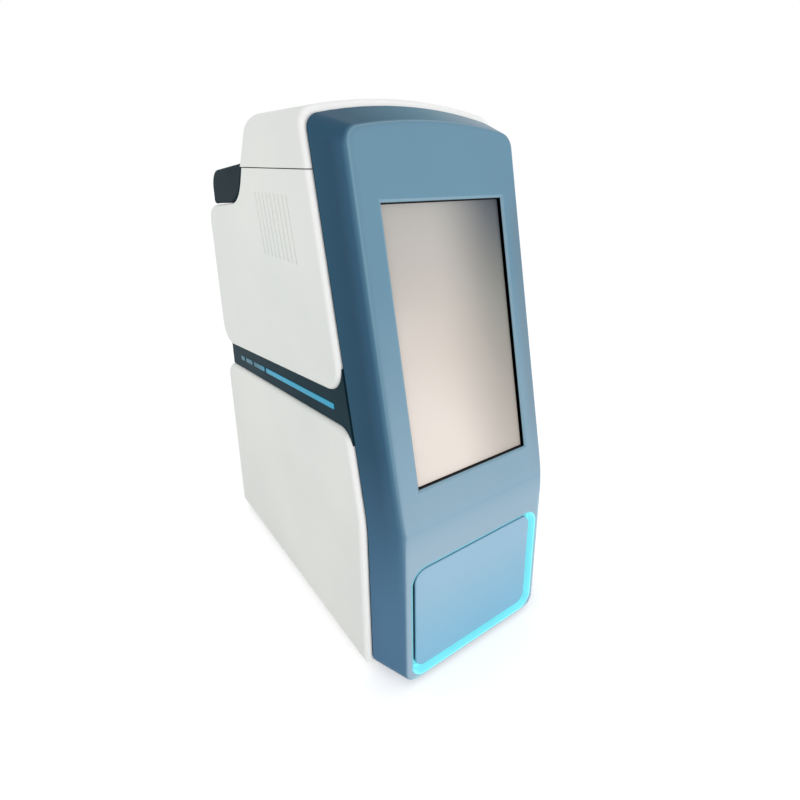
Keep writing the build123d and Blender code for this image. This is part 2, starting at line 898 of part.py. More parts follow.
with BuildPart() as chassis_frame:
    with BuildSketch(Plane.YZ.offset(-chassis_half)):
        with BuildLine():
            Polyline(*plate_points, close=True)
        make_face()
        with Locations((chassis_window_y, (base_top + deck_z) / 2)):
            RectangleRounded(chassis_window_length, deck_height / 2, post_inset, mode=Mode.SUBTRACT)
        with Locations((chassis_window_y, (deck_z + seam_z) / 2 + band_front_width)):
            RectangleRounded(chassis_window_length / 2, deck_height / 2, post_inset, mode=Mode.SUBTRACT)
    extrude(amount=sheet)
    with BuildSketch(Plane.XY.offset(deck_z)):
        with Locations((0, (deck_front + rear_inner) / 2)):
            Rectangle(2 * chassis_half, rear_inner - deck_front)
            with GridLocations(chassis_half, chassis_window_length / 2, 2, 2):
                RectangleRounded(band_front_width, band_front_width / 2, post_radius, mode=Mode.SUBTRACT)
    extrude(amount=sheet)
    mirror(about=Plane.YZ)
    with BuildSketch(Plane.XZ.offset(-rear_inner)):
        with Locations((0, (base_top + flange_top) / 2)):
            Rectangle(2 * chassis_half, flange_top - base_top)
            Rectangle(2 * (chassis_half - flange_width), flange_top - base_top, mode=Mode.SUBTRACT)
        with Locations(*rear_screw_places):
            Circle(post_hole_radius, mode=Mode.SUBTRACT)
    extrude(amount=sheet)
chassis_frame.part.label = "chassis_frame"

with BuildPart() as front_plate:
    plate_height = mount_high - mount_low + 2 * post_radius
    with BuildSketch(face_plane(upper_tilt, bezel_depth + plate_flange)):
        with Locations((0, mount_center)):
            Rectangle(2 * plate_inner, plate_height)
    extrude(amount=plate_flange)
    with BuildSketch(face_plane(upper_tilt, bezel_depth + plate_flange)):
        with Locations((0, mount_center)):
            Rectangle(2 * (plate_inner - sheet), plate_height)
    extrude(amount=plate_flange - sheet, mode=Mode.SUBTRACT)
    with BuildSketch(face_plane(upper_tilt, bezel_depth + sheet)):
        with Locations((0, window_center)):
            RectangleRounded(plate_window_width, plate_window_height, post_inset)
        with Locations((0, mount_center)):
            with GridLocations(2 * post_half_span, mount_high - mount_low, 2, 2):
                Circle(screw_radius + screw_clearance)
    extrude(amount=sheet, mode=Mode.SUBTRACT)
front_plate.part.label = "front_plate"

# Base plate and feet
base_front = face_y(lower_tilt, under_z, rim_depth)
foot_rows = (front_y + foot_front_inset, rear_y - foot_rear_inset)
foot_places = [(side * foot_half_span, row) for side in (-1, 1) for row in foot_rows]

with BuildPart() as base_plate:
    with BuildSketch(Plane.XY.offset(under_z)):
        with Locations((0, (base_front + rear_face) / 2)):
            Rectangle(2 * inner_half, rear_face - base_front)
        with Locations(*foot_places):
            Circle(screw_radius + screw_clearance, mode=Mode.SUBTRACT)
        with Locations((0, base_vent_y)):
            with GridLocations(base_vent_pitch, 0, base_vent_count, 1):
                SlotOverall(base_vent_length, base_vent_width, rotation=90, mode=Mode.SUBTRACT)
    extrude(amount=sheet)
base_plate.part.label = "base_plate"

with BuildPart() as rubber_feet:
    with Locations(*[(x, y, 0) for x, y in foot_places]):
        Cylinder(foot_radius, foot_height, align=(Align.CENTER, Align.CENTER, Align.MIN))
    chamfer(rubber_feet.edges().group_by(Axis.Z)[0], length=foot_chamfer)
    with Locations(*[Location((x, y, 0), (180, 0, 0)) for x, y in foot_places]):
        CounterBoreHole(
            radius=screw_radius + screw_clearance,
            counter_bore_radius=screw_head_radius + screw_clearance,
            counter_bore_depth=foot_bore_depth,
            depth=foot_height,
        )
rubber_feet.part.label = "rubber_feet"


def pan_screw(length):
    """Pan-head screw on the Z axis: the underside of its head at the origin, its shank below."""
    with BuildPart() as screw:
        Cylinder(screw_head_radius, screw_head_height, align=(Align.CENTER, Align.CENTER, Align.MIN))
        fillet(screw.edges().sort_by(Axis.Z)[-1], radius=screw_head_height / 2)
        Cylinder(screw_radius, length, align=(Align.CENTER, Align.CENTER, Align.MAX))
        with BuildSketch(Plane.XY.offset(screw_head_height)):
            Rectangle(screw_radius * 2, screw_slot)
            Rectangle(screw_slot, screw_radius * 2)
        extrude(amount=-screw_head_height / 2, mode=Mode.SUBTRACT)
    return screw.part


with BuildPart() as foot_screws:
    with Locations(*[Location((x, y, foot_bore_depth), (180, 0, 0)) for x, y in foot_places]):
        add(pan_screw(screw_length))
foot_screws.part.label = "foot_screws"

with BuildPart() as bezel_screws:
    mount_plane = face_plane(upper_tilt, bezel_depth + sheet)
    bracket_plane = face_plane(upper_tilt, bracket_depth + bracket_sheet)
    for side in (-1, 1):
        for row in (mount_low, mount_high):
            with Locations(mount_plane * Location((side * post_half_span, row, 0), (180, 0, 0))):
                add(pan_screw(screw_length))
        for row in (bracket_low, bracket_high):
            with Locations(bracket_plane * Location((side * post_half_span, row, 0), (180, 0, 0))):
                add(pan_screw(screw_length))
bezel_screws.part.label = "bezel_screws"

# Rear panel with its grille, vents and cut-outs
with BuildPart() as rear_panel:
    with BuildSketch(Plane.XZ.offset(-rear_face)):
        with Locations((0, (base_top + rear_panel_top) / 2)):
            Rectangle(2 * inner_half, rear_panel_top - base_top)
        with Locations(*rear_screw_places):
            Circle(screw_radius + screw_clearance, mode=Mode.SUBTRACT)
        with Locations((0, fan_height)):
            for ring in range(grille_rings, 0, -1):
                Circle(ring * grille_pitch, mode=Mode.SUBTRACT)
                Circle(ring * grille_pitch - grille_slot, mode=Mode.ADD)
            Rectangle(2 * fan_bore_radius + grille_slot, grille_bar, rotation=45)
            Rectangle(2 * fan_bore_radius + grille_slot, grille_bar, rotation=-45)
            with GridLocations(fan_screw_span, fan_screw_span, 2, 2):
                Circle(screw_radius + screw_clearance, mode=Mode.SUBTRACT)
        with Locations((inlet_x, fittings_height)):
            Rectangle(inlet_width, inlet_height, mode=Mode.SUBTRACT)
        with Locations((switch_x, fittings_height)):
            Rectangle(switch_width, switch_height, mode=Mode.SUBTRACT)
        with Locations((network_x, fittings_height)):
            Rectangle(
                network_width + 2 * fitting_clearance,
                network_height + 2 * fitting_clearance,
                mode=Mode.SUBTRACT,
            )
        with Locations((usb_x, fittings_height)):
            Rectangle(
                usb_width + 2 * fitting_clearance,
                usb_height + 2 * fitting_clearance,
                mode=Mode.SUBTRACT,
            )
        with Locations((0, rear_vent_z)):
            with GridLocations(base_vent_pitch, 0, base_vent_count, 1):
                SlotOverall(rear_vent_length, base_vent_width, rotation=90, mode=Mode.SUBTRACT)
    extrude(amount=rear_panel_thickness)
rear_panel.part.label = "rear_panel"

with BuildPart() as rear_screws:
    for x, z in rear_screw_places:
        with Locations(Location((x, rear_face, z), (-90, 0, 0))):
            add(pan_screw(screw_length))
    for side in (-1, 1):
        for level in (-1, 1):
            place = (side * fan_screw_span / 2, rear_face, fan_height + level * fan_screw_span / 2)
            with Locations(Location(place, (-90, 0, 0))):
                add(pan_screw(screw_length))
rear_screws.part.label = "rear_screws"

# Disc drawer: front, tray and telescopic slides
door_half = ring_half - ring_wall - door_gap
door_height = ring_height - 2 * (ring_wall + door_gap)
door_depth = door_recess + door_thickness
tray_mid = (tray_low + tray_high) / 2
tray_front = face_y(lower_tilt, tray_mid, door_depth + door_boss)
tray_half = foot_half - tray_clearance
disc_y = tray_front + tray_length / 2
disc_recess_radius = turntable_radius + disc_clearance
disc_floor = tray_high - disc_recess_depth
slide_z = tray_low + slide_rise
rail_front = face_y(lower_tilt, slide_z, rail_front_depth)
rail_half = tray_half + slide_thickness + slide_gap + rail_wall
frame_mid = tray_front + (tray_length + slide_length) / 2

with BuildPart() as drawer_front:
    with BuildSketch(face_plane(lower_tilt, door_depth)):
        with Locations((0, ring_center)):
            RectangleRounded(2 * door_half, door_height, door_corner_radius)
    extrude(amount=door_thickness)
    fillet(drawer_front.faces().sort_by(Axis.Y)[0].edges(), radius=door_edge_radius)
    with BuildSketch(Plane.XZ.offset(-tray_front)):
        with Locations((0, tray_mid)):
            Rectangle(2 * (tray_half - door_boss_inset), tray_high - tray_low)
    extrude(amount=door_boss + door_thickness / 2)
drawer_front.part.label = "drawer_front"

with BuildPart() as drawer_tray:
    with BuildSketch(Plane.XY.offset(tray_low)):
        with Locations((0, disc_y)):
            Rectangle(2 * tray_half, tray_length)
    extrude(amount=tray_high - tray_low)
    with BuildSketch(Plane.XY.offset(tray_low)):
        with Locations((0, disc_y)):
            Rectangle(2 * (tray_half - tray_wall), tray_length - 2 * tray_wall)
            Circle(disc_recess_radius + tray_wall, mode=Mode.SUBTRACT)
    extrude(amount=tray_high - tray_low - tray_wall, mode=Mode.SUBTRACT)
    with BuildSketch(Plane.XY.offset(tray_low)):
        with Locations((0, frame_mid)):
            Rectangle(2 * tray_half, slide_length - tray_length)
            RectangleRounded(tray_window_width, tray_window_length, post_radius, mode=Mode.SUBTRACT)
    extrude(amount=tray_frame_thickness)
    with Locations((0, disc_y, tray_high)):
        CounterBoreHole(
            radius=spindle_radius + tray_wall,
            counter_bore_radius=disc_recess_radius,
            counter_bore_depth=disc_recess_depth,
            depth=tray_high - tray_low,
        )
drawer_tray.part.label = "drawer_tray"

with BuildPart() as drawer_slides:
    with BuildSketch(Plane.XZ.offset(-tray_front)):
        with Locations((0, slide_z)):
            with GridLocations(2 * tray_half + slide_thickness, 0, 2, 1):
                Rectangle(slide_thickness, slide_height)
    extrude(amount=-slide_length)
drawer_slides.part.label = "drawer_slides"

with BuildPart() as drawer_rails:
    with BuildSketch(Plane.XZ.offset(-rail_front)):
        with Locations((0, slide_z)):
            Rectangle(2 * rail_half, slide_height + 2 * (slide_gap + rail_wall))
            Rectangle(2 * (rail_half - rail_wall), slide_height + 2 * slide_gap, mode=Mode.SUBTRACT)
            Rectangle(2 * (tray_half + slide_gap), tray_high, mode=Mode.SUBTRACT)
    extrude(amount=-rail_length)
drawer_rails.part.label = "drawer_rails"

with BuildPart() as rail_brackets:
    with BuildSketch(Plane.XZ.offset(-rail_front)):
        with Locations((0, base_top)):
            Rectangle(2 * (rail_half + sheet), bracket_height - base_top, align=(Align.CENTER, Align.MIN))
            Rectangle(2 * (rail_half + bracket_foot), sheet, align=(Align.CENTER, Align.MIN))
            Rectangle(
                2 * rail_half,
                bracket_height - base_top,
                align=(Align.CENTER, Align.MIN),
                mode=Mode.SUBTRACT,
            )
    extrude(amount=-rail_length)
    with BuildSketch(Plane.YZ.offset(rail_half + sheet)):
        with Locations((rail_front + rail_length / 2, (base_top + tray_low) / 2)):
            with GridLocations(rail_length / rail_window_count, 0, rail_window_count, 1):
                RectangleRounded(rail_window_length, rail_window_height, post_radius)
    extrude(amount=-2 * (rail_half + sheet), mode=Mode.SUBTRACT)
rail_brackets.part.label = "rail_brackets"

# Turntable on its motor, carried by the tray
with BuildPart() as spindle_motor:
    with Locations((0, disc_y, tray_low)):
        Cylinder(spindle_motor_radius, spindle_motor_height, align=(Align.CENTER, Align.CENTER, Align.MAX))
        Cylinder(spindle_radius, spindle_reach, align=(Align.CENTER, Align.CENTER, Align.MIN))
    chamfer(spindle_motor.edges().group_by(Axis.Z)[0], length=foot_chamfer)
spindle_motor.part.label = "spindle_motor"

with BuildPart() as turntable:
    with Locations((0, disc_y, disc_floor + turntable_gap)):
        Cylinder(turntable_radius, turntable_thickness, align=(Align.CENTER, Align.CENTER, Align.MIN))
        Cylinder(
            nose_radius,
            turntable_thickness + nose_height,
            align=(Align.CENTER, Align.CENTER, Align.MIN),
        )
        with PolarLocations(lug_circle, lug_count):
            Cylinder(
                lug_radius,
                turntable_thickness + lug_radius,
                align=(Align.CENTER, Align.CENTER, Align.MIN),
            )
        Cylinder(spindle_radius + running_gap, tray_high, mode=Mode.SUBTRACT)
    chamfer(turntable.edges().group_by(Axis.Z)[-1].sort_by(Edge.length)[-1], length=foot_chamfer)
turntable.part.label = "turntable"

# Rack on the drawer and the pinion that drives it
gear_pitch = pi * gear_module
rack_teeth = 2 * rack_lead_teeth + ceil(drawer_travel / gear_pitch)
pitch_radius = pinion_teeth * gear_module / 2
pinion_y = tray_front + pinion_place
root_z = tray_low - rack_back
pitch_z = root_z - gear_module - gear_clearance
pinion_z = pitch_z - pitch_radius
flank = tan(radians(pressure_angle))


def rack_outline():
    """Side outline of the rack: a bar whose straight-flanked teeth point down."""
    start = pinion_y - rack_lead_teeth * gear_pitch
    half_tooth = gear_pitch / 4
    tip = half_tooth - gear_module * flank
    root = half_tooth + (gear_module + gear_clearance) * flank
    points = [(start, tray_low), (start, root_z)]
    for index in range(rack_teeth):
        middle = start + (index + 0.5) * gear_pitch
        points.append((middle - root, root_z))
        points.append((middle - tip, pitch_z - gear_module))
        points.append((middle + tip, pitch_z - gear_module))
        points.append((middle + root, root_z))
    points.append((start + rack_teeth * gear_pitch, root_z))
    points.append((start + rack_teeth * gear_pitch, tray_low))
    return points


def tooth_angle(radius):
    """Half the angle that an involute tooth of the pinion takes up at radius."""
    base_radius = pitch_radius * cos(radians(pressure_angle))
    roll = sqrt(max((radius / base_radius) ** 2 - 1, 0))
    pitch_roll = flank - radians(pressure_angle)
    half_pitch = (gear_pitch / 2 - gear_backlash) / 2 / pitch_radius
    return half_pitch + pitch_roll - (roll - atan(roll))


def pinion_outline():
    """Outline of the pinion round its own centre, one tooth pointing straight up."""
    root_radius = pitch_radius - gear_module - gear_clearance
    tip_radius = pitch_radius + gear_module
    base_radius = pitch_radius * cos(radians(pressure_angle))
    flank_radii = [root_radius, base_radius, pitch_radius, (pitch_radius + tip_radius) / 2, tip_radius]
    points = []
    for index in range(pinion_teeth):
        middle = pi / 2 + index * 2 * pi / pinion_teeth
        for radius in flank_radii:
            angle = middle - tooth_angle(radius)
            points.append((radius * cos(angle), radius * sin(angle)))
        for radius in reversed(flank_radii):
            angle = middle + tooth_angle(radius)
            points.append((radius * cos(angle), radius * sin(angle)))
    return points


with BuildPart() as drawer_rack:
    with BuildSketch(Plane.YZ.offset(rack_side - rack_width / 2)):
        with BuildLine():
            Polyline(*rack_outline(), close=True)
        make_face()
    extrude(amount=rack_width)
drawer_rack.part.label = "drawer_rack"

with BuildPart() as drive_pinion:
    pinion_origin = (rack_side - gear_face / 2, pinion_y, pinion_z)
    with BuildSketch(Plane(origin=pinion_origin, x_dir=(0, 1, 0), z_dir=(1, 0, 0))):
        with BuildLine():
            Polyline(*pinion_outline(), close=True)
        make_face()
    extrude(amount=gear_face)
    with Locations(Location((rack_side, pinion_y, pinion_z), (0, 90, 0))):
        Cylinder(pinion_shaft_radius, 2 * (rack_side - motor_face_x) + gear_face)
        Cylinder(motor_hub_radius, gear_face + gear_module)
drive_pinion.part.label = "drive_pinion"

with BuildPart() as drawer_motor:
    with Locations(Location((motor_face_x, pinion_y, pinion_z), (0, 90, 0))):
        Cylinder(drawer_motor_radius, drawer_motor_length, align=(Align.CENTER, Align.CENTER, Align.MAX))
        Cylinder(pinion_shaft_radius + running_gap, 4 * gear_face, mode=Mode.SUBTRACT)
    chamfer(drawer_motor.edges().group_by(Axis.X)[0].sort_by(Edge.length)[-1], length=foot_chamfer)
drawer_motor.part.label = "drawer_motor"

with BuildPart() as motor_bracket:
    with BuildSketch(Plane.YZ.offset(motor_face_x)):
        with Locations((pinion_y, base_top)):
            motor_plate_height = tray_low - motor_plate_gap - base_top
            Rectangle(2 * motor_plate_half, motor_plate_height, align=(Align.CENTER, Align.MIN))
        with Locations((pinion_y, pinion_z)):
            Circle(motor_hub_radius + screw_clearance, mode=Mode.SUBTRACT)
    extrude(amount=sheet)
    with BuildSketch(Plane.XY.offset(base_top)):
        with Locations((motor_face_x + motor_foot / 2, pinion_y)):
            Rectangle(motor_foot, 2 * motor_plate_half)
    extrude(amount=sheet)
motor_bracket.part.label = "motor_bracket"

# Optics above the disc
lens_y = disc_y + lens_circle
optics_top = bracket_height + optics_plate_thickness
heater_top = bracket_height - heater_gap
head_y = lens_y

with BuildPart() as optics_plate:
    with BuildSketch(Plane.XY.offset(bracket_height)):
        with Locations((0, (rail_front + optics_rear) / 2)):
            Rectangle(2 * (rail_half + sheet), optics_rear - rail_front)
        with Locations((0, lens_y)):
            Circle(lens_radius + lens_clearance, mode=Mode.SUBTRACT)
    extrude(amount=optics_plate_thickness)
optics_plate.part.label = "optics_plate"

with BuildPart() as heater_plate:
    with Locations((0, disc_y, heater_top)):
        Cylinder(heater_radius, heater_thickness, align=(Align.CENTER, Align.CENTER, Align.MAX))
        with PolarLocations(heater_post_circle, 3, start_angle=-90):
            Cylinder(post_radius, heater_gap, align=(Align.CENTER, Align.CENTER, Align.MIN))
    with Locations((0, lens_y, heater_top)):
        Cylinder(lens_radius + lens_clearance, 2 * heater_thickness, mode=Mode.SUBTRACT)
heater_plate.part.label = "heater_plate"

with BuildPart() as optical_head:
    with Locations((0, head_y, optics_top)):
        Box(head_width, head_length, head_height, align=(Align.CENTER, Align.CENTER, Align.MIN))
    fillet(optical_head.edges().filter_by(Axis.Z), radius=head_radius)
    with Locations((0, head_y, optics_top + head_height)):
        Cylinder(head_tube_radius, head_tube_height, align=(Align.CENTER, Align.CENTER, Align.MIN))
    chamfer(optical_head.edges().group_by(Axis.Z)[-1], length=foot_chamfer)
optical_head.part.label = "optical_head"

with BuildPart() as objective_lens:
    with Locations((0, lens_y, optics_top)):
        Cylinder(lens_radius, lens_length, align=(Align.CENTER, Align.CENTER, Align.MAX))
    chamfer(objective_lens.edges().group_by(Axis.Z)[0], length=foot_chamfer)
objective_lens.part.label = "objective_lens"

lamp_y = head_y + (head_length + lamp_length) / 2
with BuildPart() as lamp_module:
    with Locations((0, lamp_y, optics_top)):
        Box(lamp_width, lamp_length, lamp_base, align=(Align.CENTER, Align.CENTER, Align.MIN))
    with BuildSketch(Plane.XY.offset(optics_top + lamp_base)):
        with Locations((0, lamp_y)):
            with GridLocations((lamp_width - fin_thickness) / (fin_count - 1), 0, fin_count, 1):
                Rectangle(fin_thickness, lamp_length)
    extrude(amount=fin_height)
lamp_module.part.label = "lamp_module"

# Circuit boards and power supply
board_x = plate_inner - main_board_gap - board_thickness
board_y = main_board_front + main_board_length / 2
board_z = main_board_low + main_board_height / 2
with BuildPart() as main_board:
    with BuildSketch(Plane.YZ.offset(board_x)):
        with Locations((board_y, board_z)):
            Rectangle(main_board_length, main_board_height)
    extrude(amount=board_thickness)
    with BuildSketch(Plane.YZ.offset(board_x + board_thickness)):
        with Locations((board_y, board_z)):
            with GridLocations(main_board_length - post_inset, main_board_height - post_inset, 2, 2):
                Circle(board_post_radius)
    extrude(amount=main_board_gap)
    with BuildSketch(Plane.YZ.offset(board_x)):
        with Locations((board_y, board_z)):
            with GridLocations(2 * chip_side, 2 * chip_side, 2, 2):
                Rectangle(chip_side, chip_side)
    extrude(amount=-chip_height)
    with BuildSketch(Plane.YZ.offset(board_x)):
        with Locations((board_y, board_z)):
            with GridLocations(main_board_length / 3, main_board_height - post_inset, 3, 2):
                Rectangle(connector_width, connector_depth)
    extrude(amount=-connector_depth)
main_board.part.label = "main_board"

supply_y = rear_inner - supply_rear_gap - supply_length / 2
supply_low = base_top + supply_foot
with BuildPart() as power_supply:
    with BuildSketch(Plane.XY.offset(supply_low)):
        with Locations((supply_x, supply_y)):
            Rectangle(supply_width, supply_length)
    extrude(amount=supply_height)
    with BuildSketch(Plane.XY.offset(supply_low + supply_height)):
        with Locations((supply_x, supply_y)):
            with GridLocations(supply_slot_pitch, 0, supply_slot_count, 1):
                SlotOverall(supply_length - 2 * post_inset, base_vent_width, rotation=90)
    extrude(amount=-supply_slot_depth, mode=Mode.SUBTRACT)
    with BuildSketch(Plane.XY.offset(base_top)):
        with Locations((supply_x, supply_y)):
            with GridLocations(supply_width - post_inset, supply_length - post_inset, 2, 2):
                Circle(post_radius)
    extrude(amount=supply_foot)
power_supply.part.label = "power_supply"

io_board_x = (network_x + usb_x) / 2
io_board_y = rear_face + port_proud - port_length
with BuildPart() as io_board:
    with BuildSketch(Plane.XZ.offset(-io_board_y)):
        with Locations((io_board_x, fittings_height)):
            Rectangle(io_board_width, io_board_height)
    extrude(amount=board_thickness)
    with BuildSketch(Plane.XZ.offset(-io_board_y)):
        with Locations((io_board_x, fittings_height)):
            io_post_span = io_board_width - 2 * board_post_radius
            with GridLocations(io_post_span, io_board_height - 2 * board_post_radius, 2, 2):
                Circle(board_post_radius)
    extrude(amount=-(rear_inner - io_board_y))
io_board.part.label = "io_board"

# Rear fittings
with BuildPart() as mains_inlet:
    with BuildSketch(Plane.XZ.offset(-rear_face)):
        with Locations((inlet_x, fittings_height)):
            inlet_flange_height = inlet_height + 2 * fitting_flange
            RectangleRounded(inlet_width + 2 * fitting_flange, inlet_flange_height, fitting_flange)
    extrude(amount=-fitting_flange)
    with BuildSketch(Plane.XZ.offset(-rear_face)):
        with Locations((inlet_x, fittings_height)):
            Rectangle(inlet_width - 2 * fitting_clearance, inlet_height - 2 * fitting_clearance)
    extrude(amount=inlet_depth)
    with BuildSketch(Plane.XZ.offset(-rear_face - fitting_flange)):
        with Locations((inlet_x, fittings_height)):
            Rectangle(plug_width, plug_height)
        chamfer(vertices().group_by(Axis.Y)[-1], length=plug_corner)
    extrude(amount=plug_depth, mode=Mode.SUBTRACT)
    with BuildSketch(Plane.XZ.offset(-rear_face - fitting_flange + plug_depth)):
        with Locations((inlet_x, fittings_height + blade_rise)):
            Rectangle(blade_width, blade_height)
        with Locations((inlet_x, fittings_height - blade_rise)):
            with GridLocations(blade_span, 0, 2, 1):
                Rectangle(blade_width, blade_height)
    extrude(amount=-blade_length)
mains_inlet.part.label = "mains_inlet"

pivot_y = rear_face + switch_flange - rocker_front
cavity_half = rocker_width / 2 + rocker_gap
with BuildPart() as switch_housing:
    with BuildSketch(Plane.XZ.offset(-rear_face)):
        with Locations((switch_x, fittings_height)):
            switch_flange_height = switch_height + 2 * switch_flange
            RectangleRounded(switch_width + 2 * switch_flange, switch_flange_height, switch_flange)
    extrude(amount=-switch_flange)
    with BuildSketch(Plane.XZ.offset(-rear_face)):
        with Locations((switch_x, fittings_height)):
            Rectangle(switch_width - 2 * fitting_clearance, switch_height - 2 * fitting_clearance)
    extrude(amount=switch_depth)
    with BuildSketch(Plane.XZ.offset(-rear_face - switch_flange)):
        with Locations((switch_x, fittings_height)):
            Rectangle(2 * cavity_half, 2 * cavity_half_height)
    extrude(amount=switch_depth + switch_flange - switch_floor, mode=Mode.SUBTRACT)
    with Locations(Location((switch_x, pivot_y, fittings_height), (0, 90, 0))):
        Cylinder(rocker_pin_radius + running_gap, 2 * (cavity_half + rocker_pin_length), mode=Mode.SUBTRACT)
switch_housing.part.label = "switch_housing"

rocker_lean = radians(-rocker_tilt)
with BuildPart() as power_rocker:
    rocker_origin = (switch_x - rocker_width / 2, pivot_y, fittings_height)
    rocker_along = (0, cos(rocker_lean), sin(rocker_lean))
    with BuildSketch(Plane(origin=rocker_origin, x_dir=rocker_along, z_dir=(1, 0, 0))):
        with BuildLine():
            Polyline(
                (rocker_front, 0),
                (rocker_end, rocker_half_height),
                (-rocker_back, rocker_half_height),
                (-rocker_depth, rocker_back),
                (-rocker_depth, -rocker_back),
                (-rocker_back, -rocker_half_height),
                (rocker_end, -rocker_half_height),
                close=True,
            )
        make_face()
    extrude(amount=rocker_width)
    with Locations(Location((switch_x, pivot_y, fittings_height), (0, 90, 0))):
        Cylinder(rocker_pin_radius, 2 * (cavity_half + rocker_pin_length - rocker_gap))
power_rocker.part.label = "power_rocker"

port_face = rear_face + port_proud
with BuildPart() as network_port:
    with BuildSketch(Plane.XZ.offset(-port_face)):
        with Locations((network_x, fittings_height)):
            Rectangle(network_width, network_height)
    extrude(amount=port_length)
    with BuildSketch(Plane.XZ.offset(-port_face)):
        with Locations((network_x, fittings_height)):
            Rectangle(jack_width, jack_height)
    extrude(amount=jack_depth, mode=Mode.SUBTRACT)
network_port.part.label = "network_port"

with BuildPart() as usb_ports:
    with BuildSketch(Plane.XZ.offset(-port_face)):
        with Locations((usb_x, fittings_height)):
            Rectangle(usb_width, usb_height)
    extrude(amount=port_length)
    with BuildSketch(Plane.XZ.offset(-port_face)):
        with Locations((usb_x, fittings_height)):
            with GridLocations(0, usb_slot_pitch, 1, 2):
                Rectangle(usb_slot_width, usb_slot_height)
    extrude(amount=usb_slot_depth, mode=Mode.SUBTRACT)
    with BuildSketch(Plane.XZ.offset(-port_face + usb_slot_depth)):
        with Locations((usb_x, fittings_height)):
            with GridLocations(0, usb_slot_pitch, 1, 2):
                Rectangle(usb_slot_width - 2 * usb_tongue, usb_tongue)
    extrude(amount=-(usb_slot_depth - usb_tongue))
usb_ports.part.label = "usb_ports"

# Fan behind the rear grille
fan_inner = rear_inner - fan_thickness
with BuildPart() as fan_frame:
    with BuildSketch(Plane.XZ.offset(-rear_inner)):
        with Locations((0, fan_height)):
            RectangleRounded(fan_size, fan_size, fan_corner_radius)
            Circle(fan_bore_radius, mode=Mode.SUBTRACT)
            with GridLocations(fan_screw_span, fan_screw_span, 2, 2):
                Circle(post_hole_radius, mode=Mode.SUBTRACT)
    extrude(amount=fan_thickness)
    with BuildSketch(Plane.XZ.offset(-fan_inner)):
        with Locations((0, fan_height)):
            Circle(fan_hub_radius)
            Rectangle(2 * fan_bore_radius + fan_strut, fan_strut, rotation=45)
            Rectangle(2 * fan_bore_radius + fan_strut, fan_strut, rotation=-45)
    extrude(amount=-fan_strut)
    with BuildSketch(Plane.XZ.offset(-fan_inner - fan_strut)):
        with Locations((0, fan_height)):
            Circle(fan_pin_radius)
    extrude(amount=-fan_hub_length)
fan_frame.part.label = "fan_frame"

rotor_inner = fan_inner + fan_strut + blade_gap
with BuildPart() as fan_rotor:
    with BuildSketch(Plane.XZ.offset(-rotor_inner)):
        with Locations((0, fan_height)):
            Circle(fan_hub_radius)
    extrude(amount=-fan_hub_length)
    for index in range(blade_count):
        turn = radians(index * 360 / blade_count)
        spoke = (sin(turn), 0, cos(turn))
        blade_origin = (0, rotor_inner + fan_hub_length / 2, fan_height)
        with BuildSketch(Plane(origin=blade_origin, x_dir=(0, 1, 0), z_dir=spoke)):
            Rectangle(blade_chord, blade_thickness, rotation=blade_pitch)
        extrude(amount=fan_bore_radius - blade_gap)
    with BuildSketch(Plane.XZ.offset(-rotor_inner)):
        with Locations((0, fan_height)):
            Circle(fan_pin_radius + running_gap)
    extrude(amount=-fan_hub_length, mode=Mode.SUBTRACT)
fan_rotor.part.label = "fan_rotor"

# Printer: lid with its platen, and the tub that holds the paper roll
lid_half = half_width - lid_side_inset
lid_rear_y = rear_y - lid_rear_inset
lid_rise_shift = lid_rise * tan(radians(cover_rear_lean))
lid_top_y = printer_y - lid_rise_shift + lid_front_gap / cos(radians(cover_rear_lean))
lid_top_z = seam_z + lid_rise
floor_rise = lid_gap / cos(radians(notch_slope))
hinge_y = lid_rear_y - hinge_radius
hinge_z = notch_height(hinge_y) + (lid_gap + hinge_radius) / cos(radians(notch_slope))
platen_length = paper_width + 2 * platen_overhang
head_plate_width = paper_width + 2 * head_overhang
head_seat_width = head_plate_width - 2 * head_seat_inset
paper_slot_width = paper_width + 2 * paper_slot_overhang
well_radius = roll_radius + roll_clearance
well_half_length = paper_width / 2 + roll_end_gap
platen_y = printer_y + platen_setback
platen_z = seam_z - platen_drop
roll_y = printer_y + roll_setback
roll_z = seam_z - roll_drop
head_rear_y = platen_y - platen_radius - head_gap
head_seat_z = platen_z - head_seat_drop


def lid_top(y, depth):
    """Height of the lid's sloping top at y, moved down by depth."""
    return lid_top_z - (y - lid_top_y) * tan(radians(lid_slope)) - depth / cos(radians(lid_slope))


def front_wall_z(y, gap):
    """Height at which the steep front of the notch, moved into it by gap, is at y."""
    return seam_z - (y - printer_y - gap / cos(radians(notch_lean))) / tan(radians(notch_lean))


